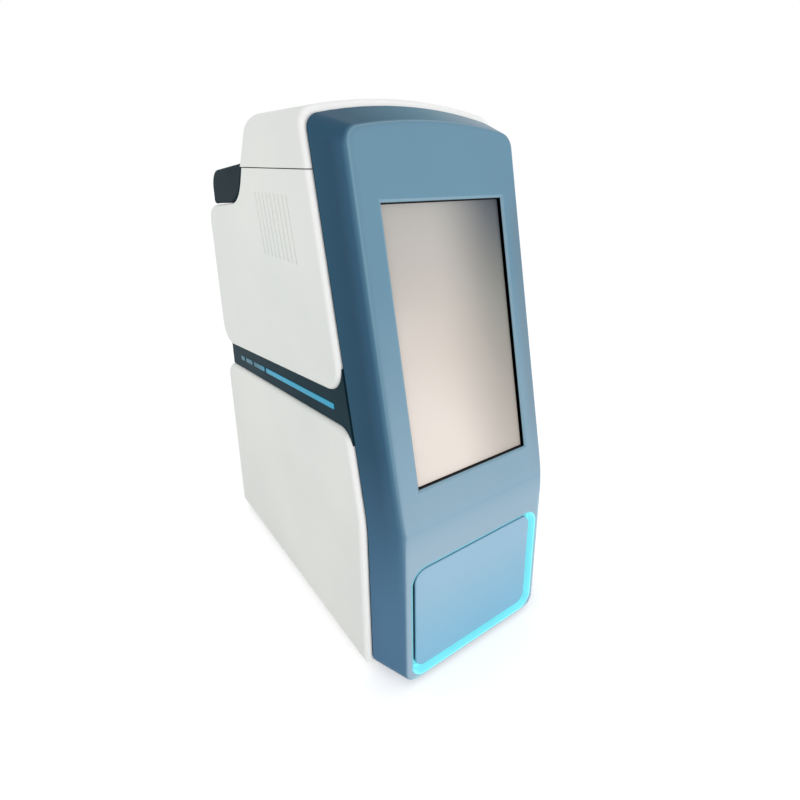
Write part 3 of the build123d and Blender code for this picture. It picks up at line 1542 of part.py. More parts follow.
with BuildPart() as printer_lid:
    with BuildSketch(Plane.YZ.offset(-lid_half)):
        with BuildLine():
            FilletPolyline(
                (lid_top_y, lid_top_z),
                (lid_rear_y, lid_top(lid_rear_y, 0)),
                (lid_rear_y, notch_height(lid_rear_y) + floor_rise),
                notch_corner(lid_gap),
                (printer_y + lid_gap / cos(radians(notch_lean)), seam_z),
                radius=(0, lid_rear_radius, hinge_radius, notch_radius - lid_gap, 0),
                close=True,
            )
        make_face()
    extrude(amount=2 * lid_half)
    sides = printer_lid.faces().filter_by(Axis.X)
    fillet(sides[0].edges() + sides[1].edges(), radius=lid_edge_radius)
    opening_y = printer_y + lid_opening_setback
    with BuildSketch(Plane.YZ.offset(lid_wall - lid_half)):
        with BuildLine():
            front_in = lid_top_y + lid_wall
            FilletPolyline(
                (opening_y, hinge_z - tub_depth),
                (opening_y, front_wall_z(opening_y, lid_gap + lid_wall)),
                (front_in + lid_wall, front_wall_z(front_in + lid_wall, lid_gap + lid_wall)),
                (front_in + lid_wall, lid_top(front_in + lid_wall, lid_wall)),
                (lid_rear_y - lid_wall, lid_top(lid_rear_y, lid_wall)),
                (lid_rear_y - lid_wall, hinge_z - tub_depth),
                radius=(0, 0, 0, 0, lid_rear_radius - lid_wall, 0),
                close=True,
            )
        make_face()
    extrude(amount=2 * (lid_half - lid_wall), mode=Mode.SUBTRACT)
    for side in (-1, 1):
        with Locations(Location((side * hinge_offset, hinge_y, hinge_z), (0, 90, 0))):
            Cylinder(hinge_radius, knuckle_length)
        ear_span = ear_length + 2 * knuckle_gap
        ear_room = 2 * (hinge_radius + ear_clearance)
        for offset_x in (-(knuckle_length + ear_span) / 2, (knuckle_length + ear_span) / 2):
            with Locations((side * hinge_offset + offset_x, hinge_y, hinge_z)):
                Box(ear_span, ear_room, ear_room, mode=Mode.SUBTRACT)
        with Locations(Location((side * hinge_offset, hinge_y, hinge_z), (0, 90, 0))):
            Cylinder(hinge_pin_radius + running_gap, 2 * knuckle_length, mode=Mode.SUBTRACT)
        ear_x = side * (platen_length / 2 + platen_ear_gap + platen_ear_thickness / 2)
        with BuildSketch(Plane.YZ.offset(ear_x - platen_ear_thickness / 2)):
            with Locations((platen_y, platen_z)):
                Circle(platen_ear_width / 2)
                Rectangle(platen_ear_width, platen_drop, align=(Align.CENTER, Align.MIN))
            with Locations((platen_y, platen_z)):
                Circle(platen_shaft_radius + running_gap, mode=Mode.SUBTRACT)
        extrude(amount=platen_ear_thickness)
    with Locations((0, platen_y - platen_radius - paper_slot_length / 2, lid_top_z)):
        Box(paper_slot_width, paper_slot_length, 2 * platen_drop, mode=Mode.SUBTRACT)
printer_lid.part.label = "printer_lid"

with BuildPart() as platen_roller:
    with Locations(Location((0, platen_y, platen_z), (0, 90, 0))):
        Cylinder(platen_radius, platen_length)
        shaft_reach = platen_ear_gap + platen_ear_thickness + head_gap
        Cylinder(platen_shaft_radius, platen_length + 2 * shaft_reach)
platen_roller.part.label = "platen_roller"

with BuildPart() as print_head:
    with BuildSketch(Plane.YZ.offset(-head_plate_width / 2)):
        with Locations((head_rear_y, head_seat_z)):
            Rectangle(head_plate_thickness, head_seat_drop + head_plate_rise, align=(Align.MAX, Align.MIN))
    extrude(amount=head_plate_width)
print_head.part.label = "print_head"

with BuildPart() as printer_tub:
    bed_rear_y = rear_inner - bed_rear_gap
    bed_front = (printer_y + seam_gap * tan(radians(notch_lean)), seam_z - seam_gap)
    bed_back = (bed_rear_y, notch_height(bed_rear_y))
    low_corner = notch_corner(-tub_wall)
    low_front = (bed_front[0] - tub_wall / cos(radians(notch_lean)), bed_front[1])
    low_back = (bed_rear_y, bed_back[1] - tub_wall / cos(radians(notch_slope)))
    with BuildSketch(Plane.YZ.offset(-inner_half)):
        with BuildLine():
            FilletPolyline(
                bed_front, notch_corner(0), bed_back, low_back, low_corner, low_front,
                radius=(0, notch_radius, 0, 0, notch_radius + tub_wall, 0),
                close=True,
            )
        make_face()
    extrude(amount=2 * inner_half)
    skirt_z = seam_z - notch_drop - tub_depth
    skirt_rear_y = rear_inner - sheet - bed_rear_gap
    skirt_back = (skirt_rear_y, notch_height(skirt_rear_y) - tub_wall / cos(radians(notch_slope)))
    with BuildSketch(Plane.YZ.offset(-plate_inner)) as skirt:
        with BuildLine():
            FilletPolyline(
                low_front, low_corner, skirt_back, (skirt_rear_y, skirt_z), (low_front[0], skirt_z),
                radius=(0, notch_radius + tub_wall, 0, post_radius, post_radius),
                close=True,
            )
        make_face()
    skirt_face = skirt.sketch_local
    extrude(amount=tub_wall)
    with BuildSketch(Plane.YZ.offset(plate_inner - tub_wall)):
        add(skirt_face)
    extrude(amount=tub_wall)
    well_half = well_half_length + tub_wall
    with BuildSketch(Plane.YZ.offset(-well_half)):
        with Locations((roll_y, roll_z)):
            Circle(well_radius + tub_wall)
            Rectangle(2 * (well_radius + tub_wall), well_radius, align=(Align.CENTER, Align.MIN))
        add(skirt_face, mode=Mode.INTERSECT)
    extrude(amount=2 * well_half)
    with BuildSketch(Plane.YZ.offset(-well_half_length)):
        with Locations((roll_y, roll_z)):
            Circle(well_radius)
            Rectangle(2 * well_radius, 2 * well_radius, align=(Align.CENTER, Align.MIN))
    extrude(amount=2 * well_half_length, mode=Mode.SUBTRACT)
    with BuildSketch(Plane.YZ.offset(-well_half)):
        with Locations((roll_y, roll_z)):
            Circle(roll_stub_radius + running_gap)
            Rectangle(2 * (roll_stub_radius + running_gap), 2 * well_radius, align=(Align.CENTER, Align.MIN))
    extrude(amount=2 * well_half, mode=Mode.SUBTRACT)
    with BuildSketch(Plane.YZ.offset(-head_seat_width / 2)):
        with Locations((head_rear_y, head_seat_z)):
            Rectangle(head_plate_thickness, 2 * head_seat_drop, align=(Align.MAX, Align.MAX))
        add(skirt_face, mode=Mode.SUBTRACT)
    extrude(amount=head_seat_width)
    # Where the floor of a shallow notch stands higher than the seat, it is slotted for the head
    add(print_head.part, mode=Mode.SUBTRACT)
    for side in (-1, 1):
        with BuildSketch(Plane.YZ.offset(side * cheek_offset - cheek_thickness / 2)):
            with Locations((platen_y, platen_z + cheek_rise)):
                Rectangle(cheek_length, 2 * cheek_length, align=(Align.CENTER, Align.MAX))
            add(skirt_face, mode=Mode.SUBTRACT)
        extrude(amount=cheek_thickness)
        ear_offset = (knuckle_length + ear_length) / 2 + knuckle_gap
        for offset_x in (-ear_offset, ear_offset):
            with BuildSketch(Plane.YZ.offset(side * hinge_offset + offset_x - ear_length / 2)):
                with Locations((hinge_y, hinge_z)):
                    Circle(hinge_radius)
                    Rectangle(2 * hinge_radius, 2 * hinge_radius, align=(Align.CENTER, Align.MAX))
                with Locations((hinge_y, hinge_z)):
                    Circle(hinge_pin_radius + running_gap, mode=Mode.SUBTRACT)
            extrude(amount=ear_length)
printer_tub.part.label = "printer_tub"

with BuildPart() as hinge_pins:
    for side in (-1, 1):
        with Locations(Location((side * hinge_offset, hinge_y, hinge_z), (0, 90, 0))):
            Cylinder(hinge_pin_radius, knuckle_length + 2 * (knuckle_gap + ear_length))
hinge_pins.part.label = "hinge_pins"

with BuildPart() as roll_axle:
    with Locations(Location((0, roll_y, roll_z), (0, 90, 0))):
        Cylinder(roll_core_radius - running_gap, paper_width)
        Cylinder(roll_stub_radius, 2 * well_half)
roll_axle.part.label = "roll_axle"

with BuildPart() as paper_roll:
    with Locations(Location((0, roll_y, roll_z), (0, 90, 0))):
        Cylinder(roll_radius, paper_width)
        Cylinder(roll_core_radius, paper_width, mode=Mode.SUBTRACT)
paper_roll.part.label = "paper_roll"

# One STEP file for each piece
for piece in (
    front_bezel, light_ring, ring_light_board, touch_glass, lcd_module, display_bracket,
    right_upper_panel, left_upper_panel, right_lower_panel, left_lower_panel, top_cover, right_band,
    left_band, right_lights, left_lights, chassis_frame, front_plate, base_plate, rubber_feet,
    foot_screws, bezel_screws, rear_panel, rear_screws, drawer_front, drawer_tray, drawer_slides,
    drawer_rails, rail_brackets, spindle_motor, turntable, drawer_rack, drive_pinion, drawer_motor,
    motor_bracket, optics_plate, heater_plate, optical_head, objective_lens, lamp_module,
    main_board, power_supply, io_board, mains_inlet, switch_housing, power_rocker, network_port,
    usb_ports, fan_frame, fan_rotor, printer_lid, platen_roller, printer_tub, hinge_pins, roll_axle,
    paper_roll, print_head,
):
    export_step(piece.part, f"parts/{piece.part.label}.step")
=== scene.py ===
"""Looks for a bench dry chemistry analyser: moulded shells, a lit drawer ring, a tall screen."""
import json
import math

import bmesh
import bpy
from mathutils import Matrix, Vector


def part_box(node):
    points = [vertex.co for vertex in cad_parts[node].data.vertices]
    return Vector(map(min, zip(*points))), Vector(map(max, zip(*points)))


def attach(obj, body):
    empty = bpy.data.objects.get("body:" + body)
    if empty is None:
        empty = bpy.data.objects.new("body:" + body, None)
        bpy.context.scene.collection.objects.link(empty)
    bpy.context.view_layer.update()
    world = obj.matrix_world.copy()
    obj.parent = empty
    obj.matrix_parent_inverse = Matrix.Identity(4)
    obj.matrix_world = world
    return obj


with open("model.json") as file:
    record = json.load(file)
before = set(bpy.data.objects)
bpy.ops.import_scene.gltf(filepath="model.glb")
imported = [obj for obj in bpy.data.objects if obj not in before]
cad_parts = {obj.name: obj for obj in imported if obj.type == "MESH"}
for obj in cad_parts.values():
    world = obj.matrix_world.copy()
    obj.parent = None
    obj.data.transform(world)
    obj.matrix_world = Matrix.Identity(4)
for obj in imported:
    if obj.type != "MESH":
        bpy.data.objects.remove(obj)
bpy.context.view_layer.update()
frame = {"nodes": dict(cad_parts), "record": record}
nodes = frame["nodes"]
MM = 0.001


def srgb(red, green, blue):
    """Linear colour of an eye-matched 0 to 255 screen colour."""
    levels = []
    for level in (red, green, blue):
        value = level / 255
        levels.append(value / 12.92 if value <= 0.04045 else ((value + 0.055) / 1.055) ** 2.4)
    return (*levels, 1.0)


# Lengths are millimetres and angles degrees, but for the stage. A pair of places gives where a
# change of tone begins and where it ends: x runs to the right, y back, z up, and depth straight
# back from the front faces.

# Front of the instrument: two faces that meet in a bend
BEND_Y = -125.386
BEND_Z = 115.0
UPPER_TILT = 13.2
LOWER_TILT = 1.6

# Screen window on the upper face, measured along the face from the bend
WINDOW_HALF = (45.0, 81.0)
WINDOW_MIDDLE = 103.8
LINER_HALF = (43.65, 79.65)
LINER_DEPTH = 3.55
LINER_HEIGHT = 1.9
LINER_WALL = 0.4

# Gasket on the bezel's rear rim: how squarely a face of the rim looks back, and its least depth
RIM_FACING = 0.9
RIM_DEPTH = 24.0
GASKET_INSET = 0.5
GASKET_THICKNESS = 1.75
MERGE_DISTANCE = 0.002

# Heights over which the front's tone changes, the lower face painted lighter as if lit from below:
# a third of it across the bend, the rest above it
BEND_BAND = (98.0, 124.0)
BEND_SHARE = 0.33
UPPER_BAND = (124.0, 250.0)

# Bezel: its tones by depth, as parts of the span, on the lower face and on the upper one. They hold
# the paint's pale front and deep blue flank, a painted highlight on the ridge between them, and a
# painted reflection on the flank next to the ridge; the lower face is painted lighter, as if lit
# from below
BEZEL_SPAN = 30.0
LOWER_TONES_AND_LIGHT = [
    (0.0, srgb(155, 180, 197)),
    (0.018, srgb(151, 178, 196)),
    (0.045, srgb(96, 132, 160)),
    (0.09, srgb(86, 124, 154)),
    (0.22, srgb(84, 124, 155)),
    (0.45, srgb(84, 124, 155)),
    (1.0, srgb(80, 118, 150)),
]
UPPER_TONES_AND_LIGHT = [
    (0.0, srgb(109, 146, 167)),
    (0.03, srgb(112, 149, 170)),
    (0.055, srgb(128, 166, 186)),
    (0.10, srgb(86, 128, 152)),
    (0.20, srgb(60, 98, 124)),
    (0.45, srgb(52, 84, 107)),
    (1.0, srgb(54, 92, 115)),
]
FLANK_DEPTH = (1.0, 3.0)
FLANK_BAND = (60.0, 160.0)

# Bezel: greyer strip to the right of the screen, faded out below and above
STRIP_X = (46.0, 52.0)
STRIP_FOOT = (115.0, 170.0)
STRIP_TOP = (305.0, 280.0)
STRIP_TONE = srgb(118, 134, 146)
STRIP_SHARE = 0.45

# Bezel: arched top wall, deep blue on the left, lightened to the right by a painted reflection
CROWN_Z = (321.0, 326.0)
CROWN_DEPTH = (2.5, 5.0)
CROWN_X = (-60.0, 48.0)
CROWN_TONES_AND_REFLECTION = [
    (0.0, srgb(52, 88, 112)),
    (0.15, srgb(36, 88, 113)),
    (0.55, srgb(66, 122, 146)),
    (1.0, srgb(134, 160, 175)),
]

# Bezel: light of the ring on the lip to its right and below it
SPILL_X = (53.5, 58.0)
SPILL_Z = (106.0, 96.0)
SPILL_FOOT = (9.0, 6.0)
SPILL_DEPTH = (2.5, 1.0)
SPILL_TONE = srgb(186, 232, 242)
SPILL_SHARE = 0.6

# Bezel: painted highlight on the bevel round the screen window, and painted shade on the wall
# behind it
BEVEL_EDGE = (0.4, -0.1)
BEVEL_HIGHLIGHT = srgb(138, 170, 187)
WALL_DEPTH = (1.1, 1.5)
WALL_SHADE = srgb(16, 20, 26)

# Door of the drawer: its face from bottom to top, bluer at the foot with painted light of the ring,
# and painted shade on its side walls
DOOR_Z = (8.0, 80.0)
DOOR_LOW_RING_LIT = srgb(128, 182, 210)
DOOR_HIGH = srgb(150, 186, 208)
DOOR_WALL_DEPTH = (2.6, 3.2)
DOOR_WALL_SHADE = srgb(12, 24, 36)

# White shells: lower and upper tone, and a painted highlight on the rounded rim beside the bezel
SHELL_LOW = srgb(235, 237, 232)
SHELL_HIGH = srgb(243, 246, 241)
SHELL_RIM_DEPTH = (33.0, 29.0)
SHELL_RIM_HIGHLIGHT = srgb(252, 252, 250)

# Satin paint on bezel, door and shells
SATIN_LIGHT = srgb(255, 255, 255)
SATIN_DARK = srgb(249, 250, 251)
SATIN_ROUGH = (0.36, 0.44)
BEZEL_SHINE = 0.05
DOOR_SHINE = 0.25

# Screen: painted reflection at its left and right side from bottom to top, and the black border
# under the glass
SHEEN_X = (-14.0, 44.0)
SHEEN_LEFT = [(0.0, srgb(232, 222, 214)), (0.45, srgb(206, 196, 188)), (1.0, srgb(178, 176, 172))]
SHEEN_RIGHT = [(0.0, srgb(184, 175, 166)), (0.6, srgb(140, 140, 134)), (1.0, srgb(66, 76, 88))]
BORDER_EDGE = (-2.0, -1.8)
BORDER_TONE = srgb(14, 18, 24)
SCREEN_SHINE = 0.25

# Light guides: body, weak glow, strong glow and its strength; where the glow changes
RING_LIGHT = (srgb(96, 158, 174), srgb(92, 138, 152), srgb(126, 236, 246), 0.85)
RING_SIDE_X = (40.0, 54.0)
RING_FOOT_Z = (20.0, 9.0)
SIDE_LIGHT = (srgb(2, 80, 104), srgb(20, 90, 106), srgb(4, 178, 218), 0.5)
BAR_Y = (60.0, 30.0)
GUIDE_SHINE = 0.2

# Mouldings: two near screen colours, roughness and its spread, texture pits per metre and depth
MOULDINGS = {
    "dark_shell": ((30, 56, 66), (25, 50, 60), 0.42, 0.06, 2200.0, 0.02),
    "lid_shell": ((16, 42, 52), (12, 37, 46), 0.42, 0.06, 2200.0, 0.02),
    "display_module": ((40, 40, 42), (32, 32, 34), 0.5, 0.1, 1500.0, 0.04),
    "rear_paint": ((222, 223, 222), (214, 216, 215), 0.5, 0.1, 1100.0, 0.09),
    "foot_rubber": ((34, 34, 34), (26, 26, 26), 0.75, 0.12, 900.0, 0.1),
    "tray_plastic": ((216, 217, 217), (206, 208, 208), 0.42, 0.1, 1700.0, 0.05),
    "gear_plastic": ((236, 233, 222), (226, 223, 211), 0.4, 0.1, 1400.0, 0.04),
    "optics_metal": ((40, 40, 43), (32, 32, 35), 0.45, 0.12, 1300.0, 0.04),
    "board": ((28, 96, 62), (22, 82, 52), 0.35, 0.15, 700.0, 0.06),
    "fitting_plastic": ((38, 38, 40), (30, 30, 32), 0.42, 0.12, 1500.0, 0.05),
    "roller_rubber": ((48, 48, 50), (40, 40, 42), 0.7, 0.1, 1200.0, 0.05),
    "paper": ((246, 246, 242), (240, 240, 236), 0.6, 0.1, 3000.0, 0.02),
}
NEAR_MATTE = {"dark_shell": 0.03, "lid_shell": 0.03}
LACQUER = {"board": 0.2}
PLAIN_SHINE = 0.5
LACQUER_ROUGH = 0.12

# Metals: two near screen colours, roughness, brushed lines per metre and their depth
METALS = {
    "sheet_metal": ((196, 198, 200), (180, 183, 186), 0.32, 260.0, 0.03),
    "screw_steel": ((176, 178, 182), (150, 152, 156), 0.28, 700.0, 0.02),
    "slide_steel": ((206, 208, 210), (186, 188, 191), 0.22, 420.0, 0.02),
    "motor_metal": ((128, 131, 136), (112, 115, 120), 0.4, 300.0, 0.03),
    "turntable_metal": ((92, 95, 100), (80, 83, 88), 0.34, 380.0, 0.03),
    "bare_aluminium": ((204, 206, 209), (188, 190, 194), 0.3, 340.0, 0.03),
}
METAL_SPREAD = 0.1

# How often the tone drifts in a metre, and the moulded texture's slow ripple
PLASTIC_DRIFT = 9.0
METAL_DRIFT = 25.0
RIPPLE = {"Ripple_Scale": 45.0, "Ripple": 0.3}
SATIN_PITS = 2600.0
SATIN_DEPTH = 0.03
TEXTURE_STRENGTH = 0.25
BRUSH_STRENGTH = 0.3

# Stage: floor and world, and lamps with place, target and size in metres and power in watts
FLOOR_WHITE = (0.98, 0.98, 0.98, 1.0)
FLOOR_ROUGH = 0.9
FLOOR_LIFT = 0.36
FLOOR_HALF = 6.0
WORLD_LEVEL = 0.7
PURE_WHITE = (1.0, 1.0, 1.0, 1.0)
LAMPS = [
    ("front_light", (0.25, -1.2, 0.12), (0.0, 0.0, 0.1), (1.0, 0.5), 6.3),
    ("left_light", (-1.3, -0.6, 0.7), (0.0, 0.0, 0.15), (1.0, 1.0), 1.9),
]

# Camera of the photograph: place in millimetres, turns in degrees, lens and shift
CAMERA_PLACE = (-201.1, -320.5, 312.8)
CAMERA_YAW = 36.08
CAMERA_PITCH = 20.41
CAMERA_ROLL = 0.30
CAMERA_LENS = 23.76
CAMERA_SHIFT = (-0.00596, -0.0506)


# Short ways to place and link shader nodes
def object_place(tree):
    """X, Y and Z of the object coordinates, in millimetres."""
    place = tree.nodes.new("ShaderNodeTexCoord")
    scale = tree.nodes.new("ShaderNodeVectorMath")
    scale.operation = "SCALE"
    scale.inputs["Scale"].default_value = 1 / MM
    parts = tree.nodes.new("ShaderNodeSeparateXYZ")
    tree.links.new(place.outputs["Object"], scale.inputs["Vector"])
    tree.links.new(scale.outputs["Vector"], parts.inputs["Vector"])
    return parts.outputs["X"], parts.outputs["Y"], parts.outputs["Z"]


def object_noise(tree, scale_socket, detail, stretch=(1.0, 1.0, 1.0)):
    """Noise on object coordinates, stretched, its scale taken from a socket."""
    place = tree.nodes.new("ShaderNodeTexCoord")
    mapping = tree.nodes.new("ShaderNodeMapping")
    mapping.inputs["Scale"].default_value = stretch
    noise = tree.nodes.new("ShaderNodeTexNoise")
    noise.inputs["Detail"].default_value = detail
    tree.links.new(place.outputs["Object"], mapping.inputs["Vector"])
    tree.links.new(mapping.outputs["Vector"], noise.inputs["Vector"])
    tree.links.new(scale_socket, noise.inputs["Scale"])
    return noise.outputs["Fac"]


def calculate(tree, operation, *inputs):
    """Math node fed by sockets or numbers; returns its result."""
    node = tree.nodes.new("ShaderNodeMath")
    node.operation = operation
    for place, item in enumerate(inputs):
        if isinstance(item, (int, float)):
            node.inputs[place].default_value = item
        else:
            tree.links.new(item, node.inputs[place])
    return node.outputs[0]


def fade(tree, source, span, smooth=False):
    """Value that runs from 0 to 1 while the source runs from the span's first end to its second."""
    node = tree.nodes.new("ShaderNodeMapRange")
    if smooth:
        node.interpolation_type = "SMOOTHSTEP"
    node.inputs["From Min"].default_value, node.inputs["From Max"].default_value = span
    tree.links.new(source, node.inputs["Value"])
    return node.outputs["Result"]


def mix(tree, kind, factor, first, second):
    """Mix of two sockets, of kind RGBA or FLOAT, by a factor socket."""
    node = tree.nodes.new("ShaderNodeMix")
    node.data_type = kind
    tree.links.new(factor, node.inputs["Factor"])
    tree.links.new(first, node.inputs["A"])
    tree.links.new(second, node.inputs["B"])
    return node.outputs["Result"]


def mix_colours(tree, factor, first, second):
    """Colour mixed by a factor socket; each colour is a socket or four numbers."""
    sockets = [plain(tree, item) if isinstance(item, tuple) else item for item in (first, second)]
    return mix(tree, "RGBA", factor, *sockets)


def multiply_colours(tree, first, second):
    """Product of two colour sockets."""
    node = tree.nodes.new("ShaderNodeMix")
    node.data_type = "RGBA"
    node.blend_type = "MULTIPLY"
    node.inputs["Factor"].default_value = 1.0
    tree.links.new(first, node.inputs["A"])
    tree.links.new(second, node.inputs["B"])
    return node.outputs["Result"]


def plain(tree, colour):
    """Output that carries one colour."""
    node = tree.nodes.new("ShaderNodeRGB")
    node.outputs[0].default_value = colour
    return node.outputs[0]


def ramp(tree, source, stops):
    """Colour ramp over (position, colour) stops."""
    node = tree.nodes.new("ShaderNodeValToRGB")
    elements = node.color_ramp.elements
    elements[0].position, elements[0].color = stops[0]
    elements[1].position, elements[1].color = stops[-1]
    for position, colour in stops[1:-1]:
        elements.new(position).color = colour
    tree.links.new(source, node.inputs["Fac"])
    return node.outputs["Color"]


# Shared surface effects, each a node group
def new_group(name, inputs, outputs):
    """Empty shader group with its sockets; returns the tree and its two end nodes."""
    tree = bpy.data.node_groups.new(name, "ShaderNodeTree")
    for label, kind, default in inputs:
        socket = tree.interface.new_socket(label, in_out="INPUT", socket_type=kind)
        socket.default_value = default
    for label, kind in outputs:
        tree.interface.new_socket(label, in_out="OUTPUT", socket_type=kind)
    start = tree.nodes.new("NodeGroupInput")
    end = tree.nodes.new("NodeGroupOutput")
    return tree, start, end


def tone_group():
    """Slow drift between two near colours, with roughness drifting the same way."""
    tree, start, end = new_group(
        "surface_tone",
        [
            ("Color A", "NodeSocketColor", (0.8, 0.8, 0.8, 1)),
            ("Color B", "NodeSocketColor", (0.7, 0.7, 0.7, 1)),
            ("Scale", "NodeSocketFloat", 12.0),
            ("Rough A", "NodeSocketFloat", 0.4),
            ("Rough B", "NodeSocketFloat", 0.5),
        ],
        [("Color", "NodeSocketColor"), ("Roughness", "NodeSocketFloat")],
    )
    drift = fade(tree, object_noise(tree, start.outputs["Scale"], 3.0), (0.35, 0.65))
    colour = mix(tree, "RGBA", drift, start.outputs["Color A"], start.outputs["Color B"])
    rough = mix(tree, "FLOAT", drift, start.outputs["Rough A"], start.outputs["Rough B"])
    tree.links.new(colour, end.inputs["Color"])
    tree.links.new(rough, end.inputs["Roughness"])
    return tree


def grain_group():
    """Fine moulded texture: small pits and a slower ripple, as a height."""
    tree, start, end = new_group(
        "moulded_grain",
        [
            ("Pit Scale", "NodeSocketFloat", 2500.0),
            ("Ripple Scale", "NodeSocketFloat", 60.0),
            ("Ripple", "NodeSocketFloat", 0.2),
        ],
        [("Height", "NodeSocketFloat")],
    )
    pits = object_noise(tree, start.outputs["Pit Scale"], 2.0)
    ripple = object_noise(tree, start.outputs["Ripple Scale"], 1.0)
    height = mix(tree, "FLOAT", start.outputs["Ripple"], pits, ripple)
    tree.links.new(height, end.inputs["Height"])
    return tree


def brush_group():
    """Fine lines along one direction on rolled or machined metal, as a height."""
    tree, start, end = new_group(
        "brushed_lines", [("Scale", "NodeSocketFloat", 300.0)], [("Height", "NodeSocketFloat")]
    )
    lines = object_noise(tree, start.outputs["Scale"], 4.0, stretch=(1.0, 0.06, 1.0))
    tree.links.new(lines, end.inputs["Height"])
    return tree


def depth_group():
    """Depth behind the front faces, and a value that climbs from the lower face upwards."""
    tree, _, end = new_group(
        "front_depth", [], [("Depth", "NodeSocketFloat"), ("Rise", "NodeSocketFloat")]
    )
    _, y, z = object_place(tree)
    above = calculate(tree, "SUBTRACT", z, BEND_Z)
    upper = calculate(tree, "MULTIPLY", above, math.tan(math.radians(UPPER_TILT)))
    lower = calculate(tree, "MULTIPLY", above, math.tan(math.radians(LOWER_TILT)))
    lean = calculate(tree, "MAXIMUM", upper, lower)
    behind = calculate(tree, "SUBTRACT", calculate(tree, "SUBTRACT", y, BEND_Y), lean)
    tree.links.new(behind, end.inputs["Depth"])
    bend = calculate(tree, "MULTIPLY", fade(tree, z, BEND_BAND), BEND_SHARE)
    slope = calculate(tree, "MULTIPLY", fade(tree, z, UPPER_BAND), 1 - BEND_SHARE)
    tree.links.new(calculate(tree, "ADD", bend, slope), end.inputs["Rise"])
    return tree


def window_group():
    """Distance outside the screen window, measured along the upper face; negative inside it."""
    tree, _, end = new_group("window_edge", [], [("Outside", "NodeSocketFloat")])
    x, y, z = object_place(tree)
    tilt = math.radians(UPPER_TILT)
    rise = calculate(tree, "MULTIPLY", calculate(tree, "SUBTRACT", z, BEND_Z), math.cos(tilt))
    run = calculate(tree, "MULTIPLY", calculate(tree, "SUBTRACT", y, BEND_Y), math.sin(tilt))
    along = calculate(tree, "SUBTRACT", calculate(tree, "ADD", rise, run), WINDOW_MIDDLE)
    beside = calculate(tree, "SUBTRACT", calculate(tree, "ABSOLUTE", x), WINDOW_HALF[0])
    beyond = calculate(tree, "SUBTRACT", calculate(tree, "ABSOLUTE", along), WINDOW_HALF[1])
    tree.links.new(calculate(tree, "MAXIMUM", beside, beyond), end.inputs["Outside"])
    return tree


tone = tone_group()
grain = grain_group()
brushed = brush_group()
front_depth = depth_group()
window_edge = window_group()


class Finish:
    """One material under construction: its tree, its Principled shader and short ways to link."""

    def __init__(self, name):
        self.material = bpy.data.materials.new(name)
        self.material.use_nodes = True
        self.tree = self.material.node_tree
        self.shader = self.tree.nodes["Principled BSDF"]

    def group(self, tree, **values):
        """Group node with its inputs set; underscores in a name stand for spaces."""
        node = self.tree.nodes.new("ShaderNodeGroup")
        node.node_tree = tree
        for key, value in values.items():
            node.inputs[key.replace("_", " ")].default_value = value
        return node

    def link(self, output, socket):
        """Link an output to a named input of the shader."""
        self.tree.links.new(output, self.shader.inputs[socket])

    def set(self, socket, value):
        """Fixed value on a named input of the shader."""
        self.shader.inputs[socket].default_value = value

    def bump(self, height, strength, depth):
        """Bump of that strength and depth in millimetres feeds the shader's normal."""
        node = self.tree.nodes.new("ShaderNodeBump")
        node.inputs["Strength"].default_value = strength
        node.inputs["Distance"].default_value = depth * MM
        self.tree.links.new(height, node.inputs["Height"])
        self.link(node.outputs["Normal"], "Normal")


# Plastics and metals that differ only in their values
def moulded(name):
    """Moulded plastic, rubber or paper with a drifting tone and a fine texture."""
    colour_a, colour_b, rough, spread, pits, depth = MOULDINGS[name]
    finish = Finish(name)
    surface = finish.group(
        tone,
        Color_A=srgb(*colour_a),
        Color_B=srgb(*colour_b),
        Scale=PLASTIC_DRIFT,
        Rough_A=rough,
        Rough_B=rough + spread,
    )
    texture = finish.group(grain, Pit_Scale=pits, **RIPPLE)
    finish.link(surface.outputs["Color"], "Base Color")
    finish.link(surface.outputs["Roughness"], "Roughness")
    finish.bump(texture.outputs["Height"], TEXTURE_STRENGTH, depth)
    finish.set("Specular IOR Level", NEAR_MATTE.get(name, PLAIN_SHINE))
    finish.set("Coat Weight", LACQUER.get(name, 0.0))
    finish.set("Coat Roughness", LACQUER_ROUGH)
    return finish.material


def metal(name):
    """Bare or plated metal with fine directional lines."""
    colour_a, colour_b, rough, line_scale, depth = METALS[name]
    finish = Finish(name)
    surface = finish.group(
        tone,
        Color_A=srgb(*colour_a),
        Color_B=srgb(*colour_b),
        Scale=METAL_DRIFT,
        Rough_A=rough,
        Rough_B=rough + METAL_SPREAD,
    )
    lines = finish.group(brushed, Scale=line_scale)
    finish.link(surface.outputs["Color"], "Base Color")
    finish.link(surface.outputs["Roughness"], "Roughness")
    finish.bump(lines.outputs["Height"], BRUSH_STRENGTH, depth)
    finish.set("Metallic", 1.0)
    return finish.material


# Painted front and shells
def satin_paint(finish, colour):
    """Satin moulded surface under a colour: a faint drift of tone, and a fine grain."""
    surface = finish.group(
        tone,
        Color_A=SATIN_LIGHT,
        Color_B=SATIN_DARK,
        Scale=PLASTIC_DRIFT,
        Rough_A=SATIN_ROUGH[0],
        Rough_B=SATIN_ROUGH[1],
    )
    texture = finish.group(grain, Pit_Scale=SATIN_PITS, **RIPPLE)
    shade = multiply_colours(finish.tree, colour, surface.outputs["Color"])
    finish.link(shade, "Base Color")
    finish.link(surface.outputs["Roughness"], "Roughness")
    finish.bump(texture.outputs["Height"], TEXTURE_STRENGTH, SATIN_DEPTH)


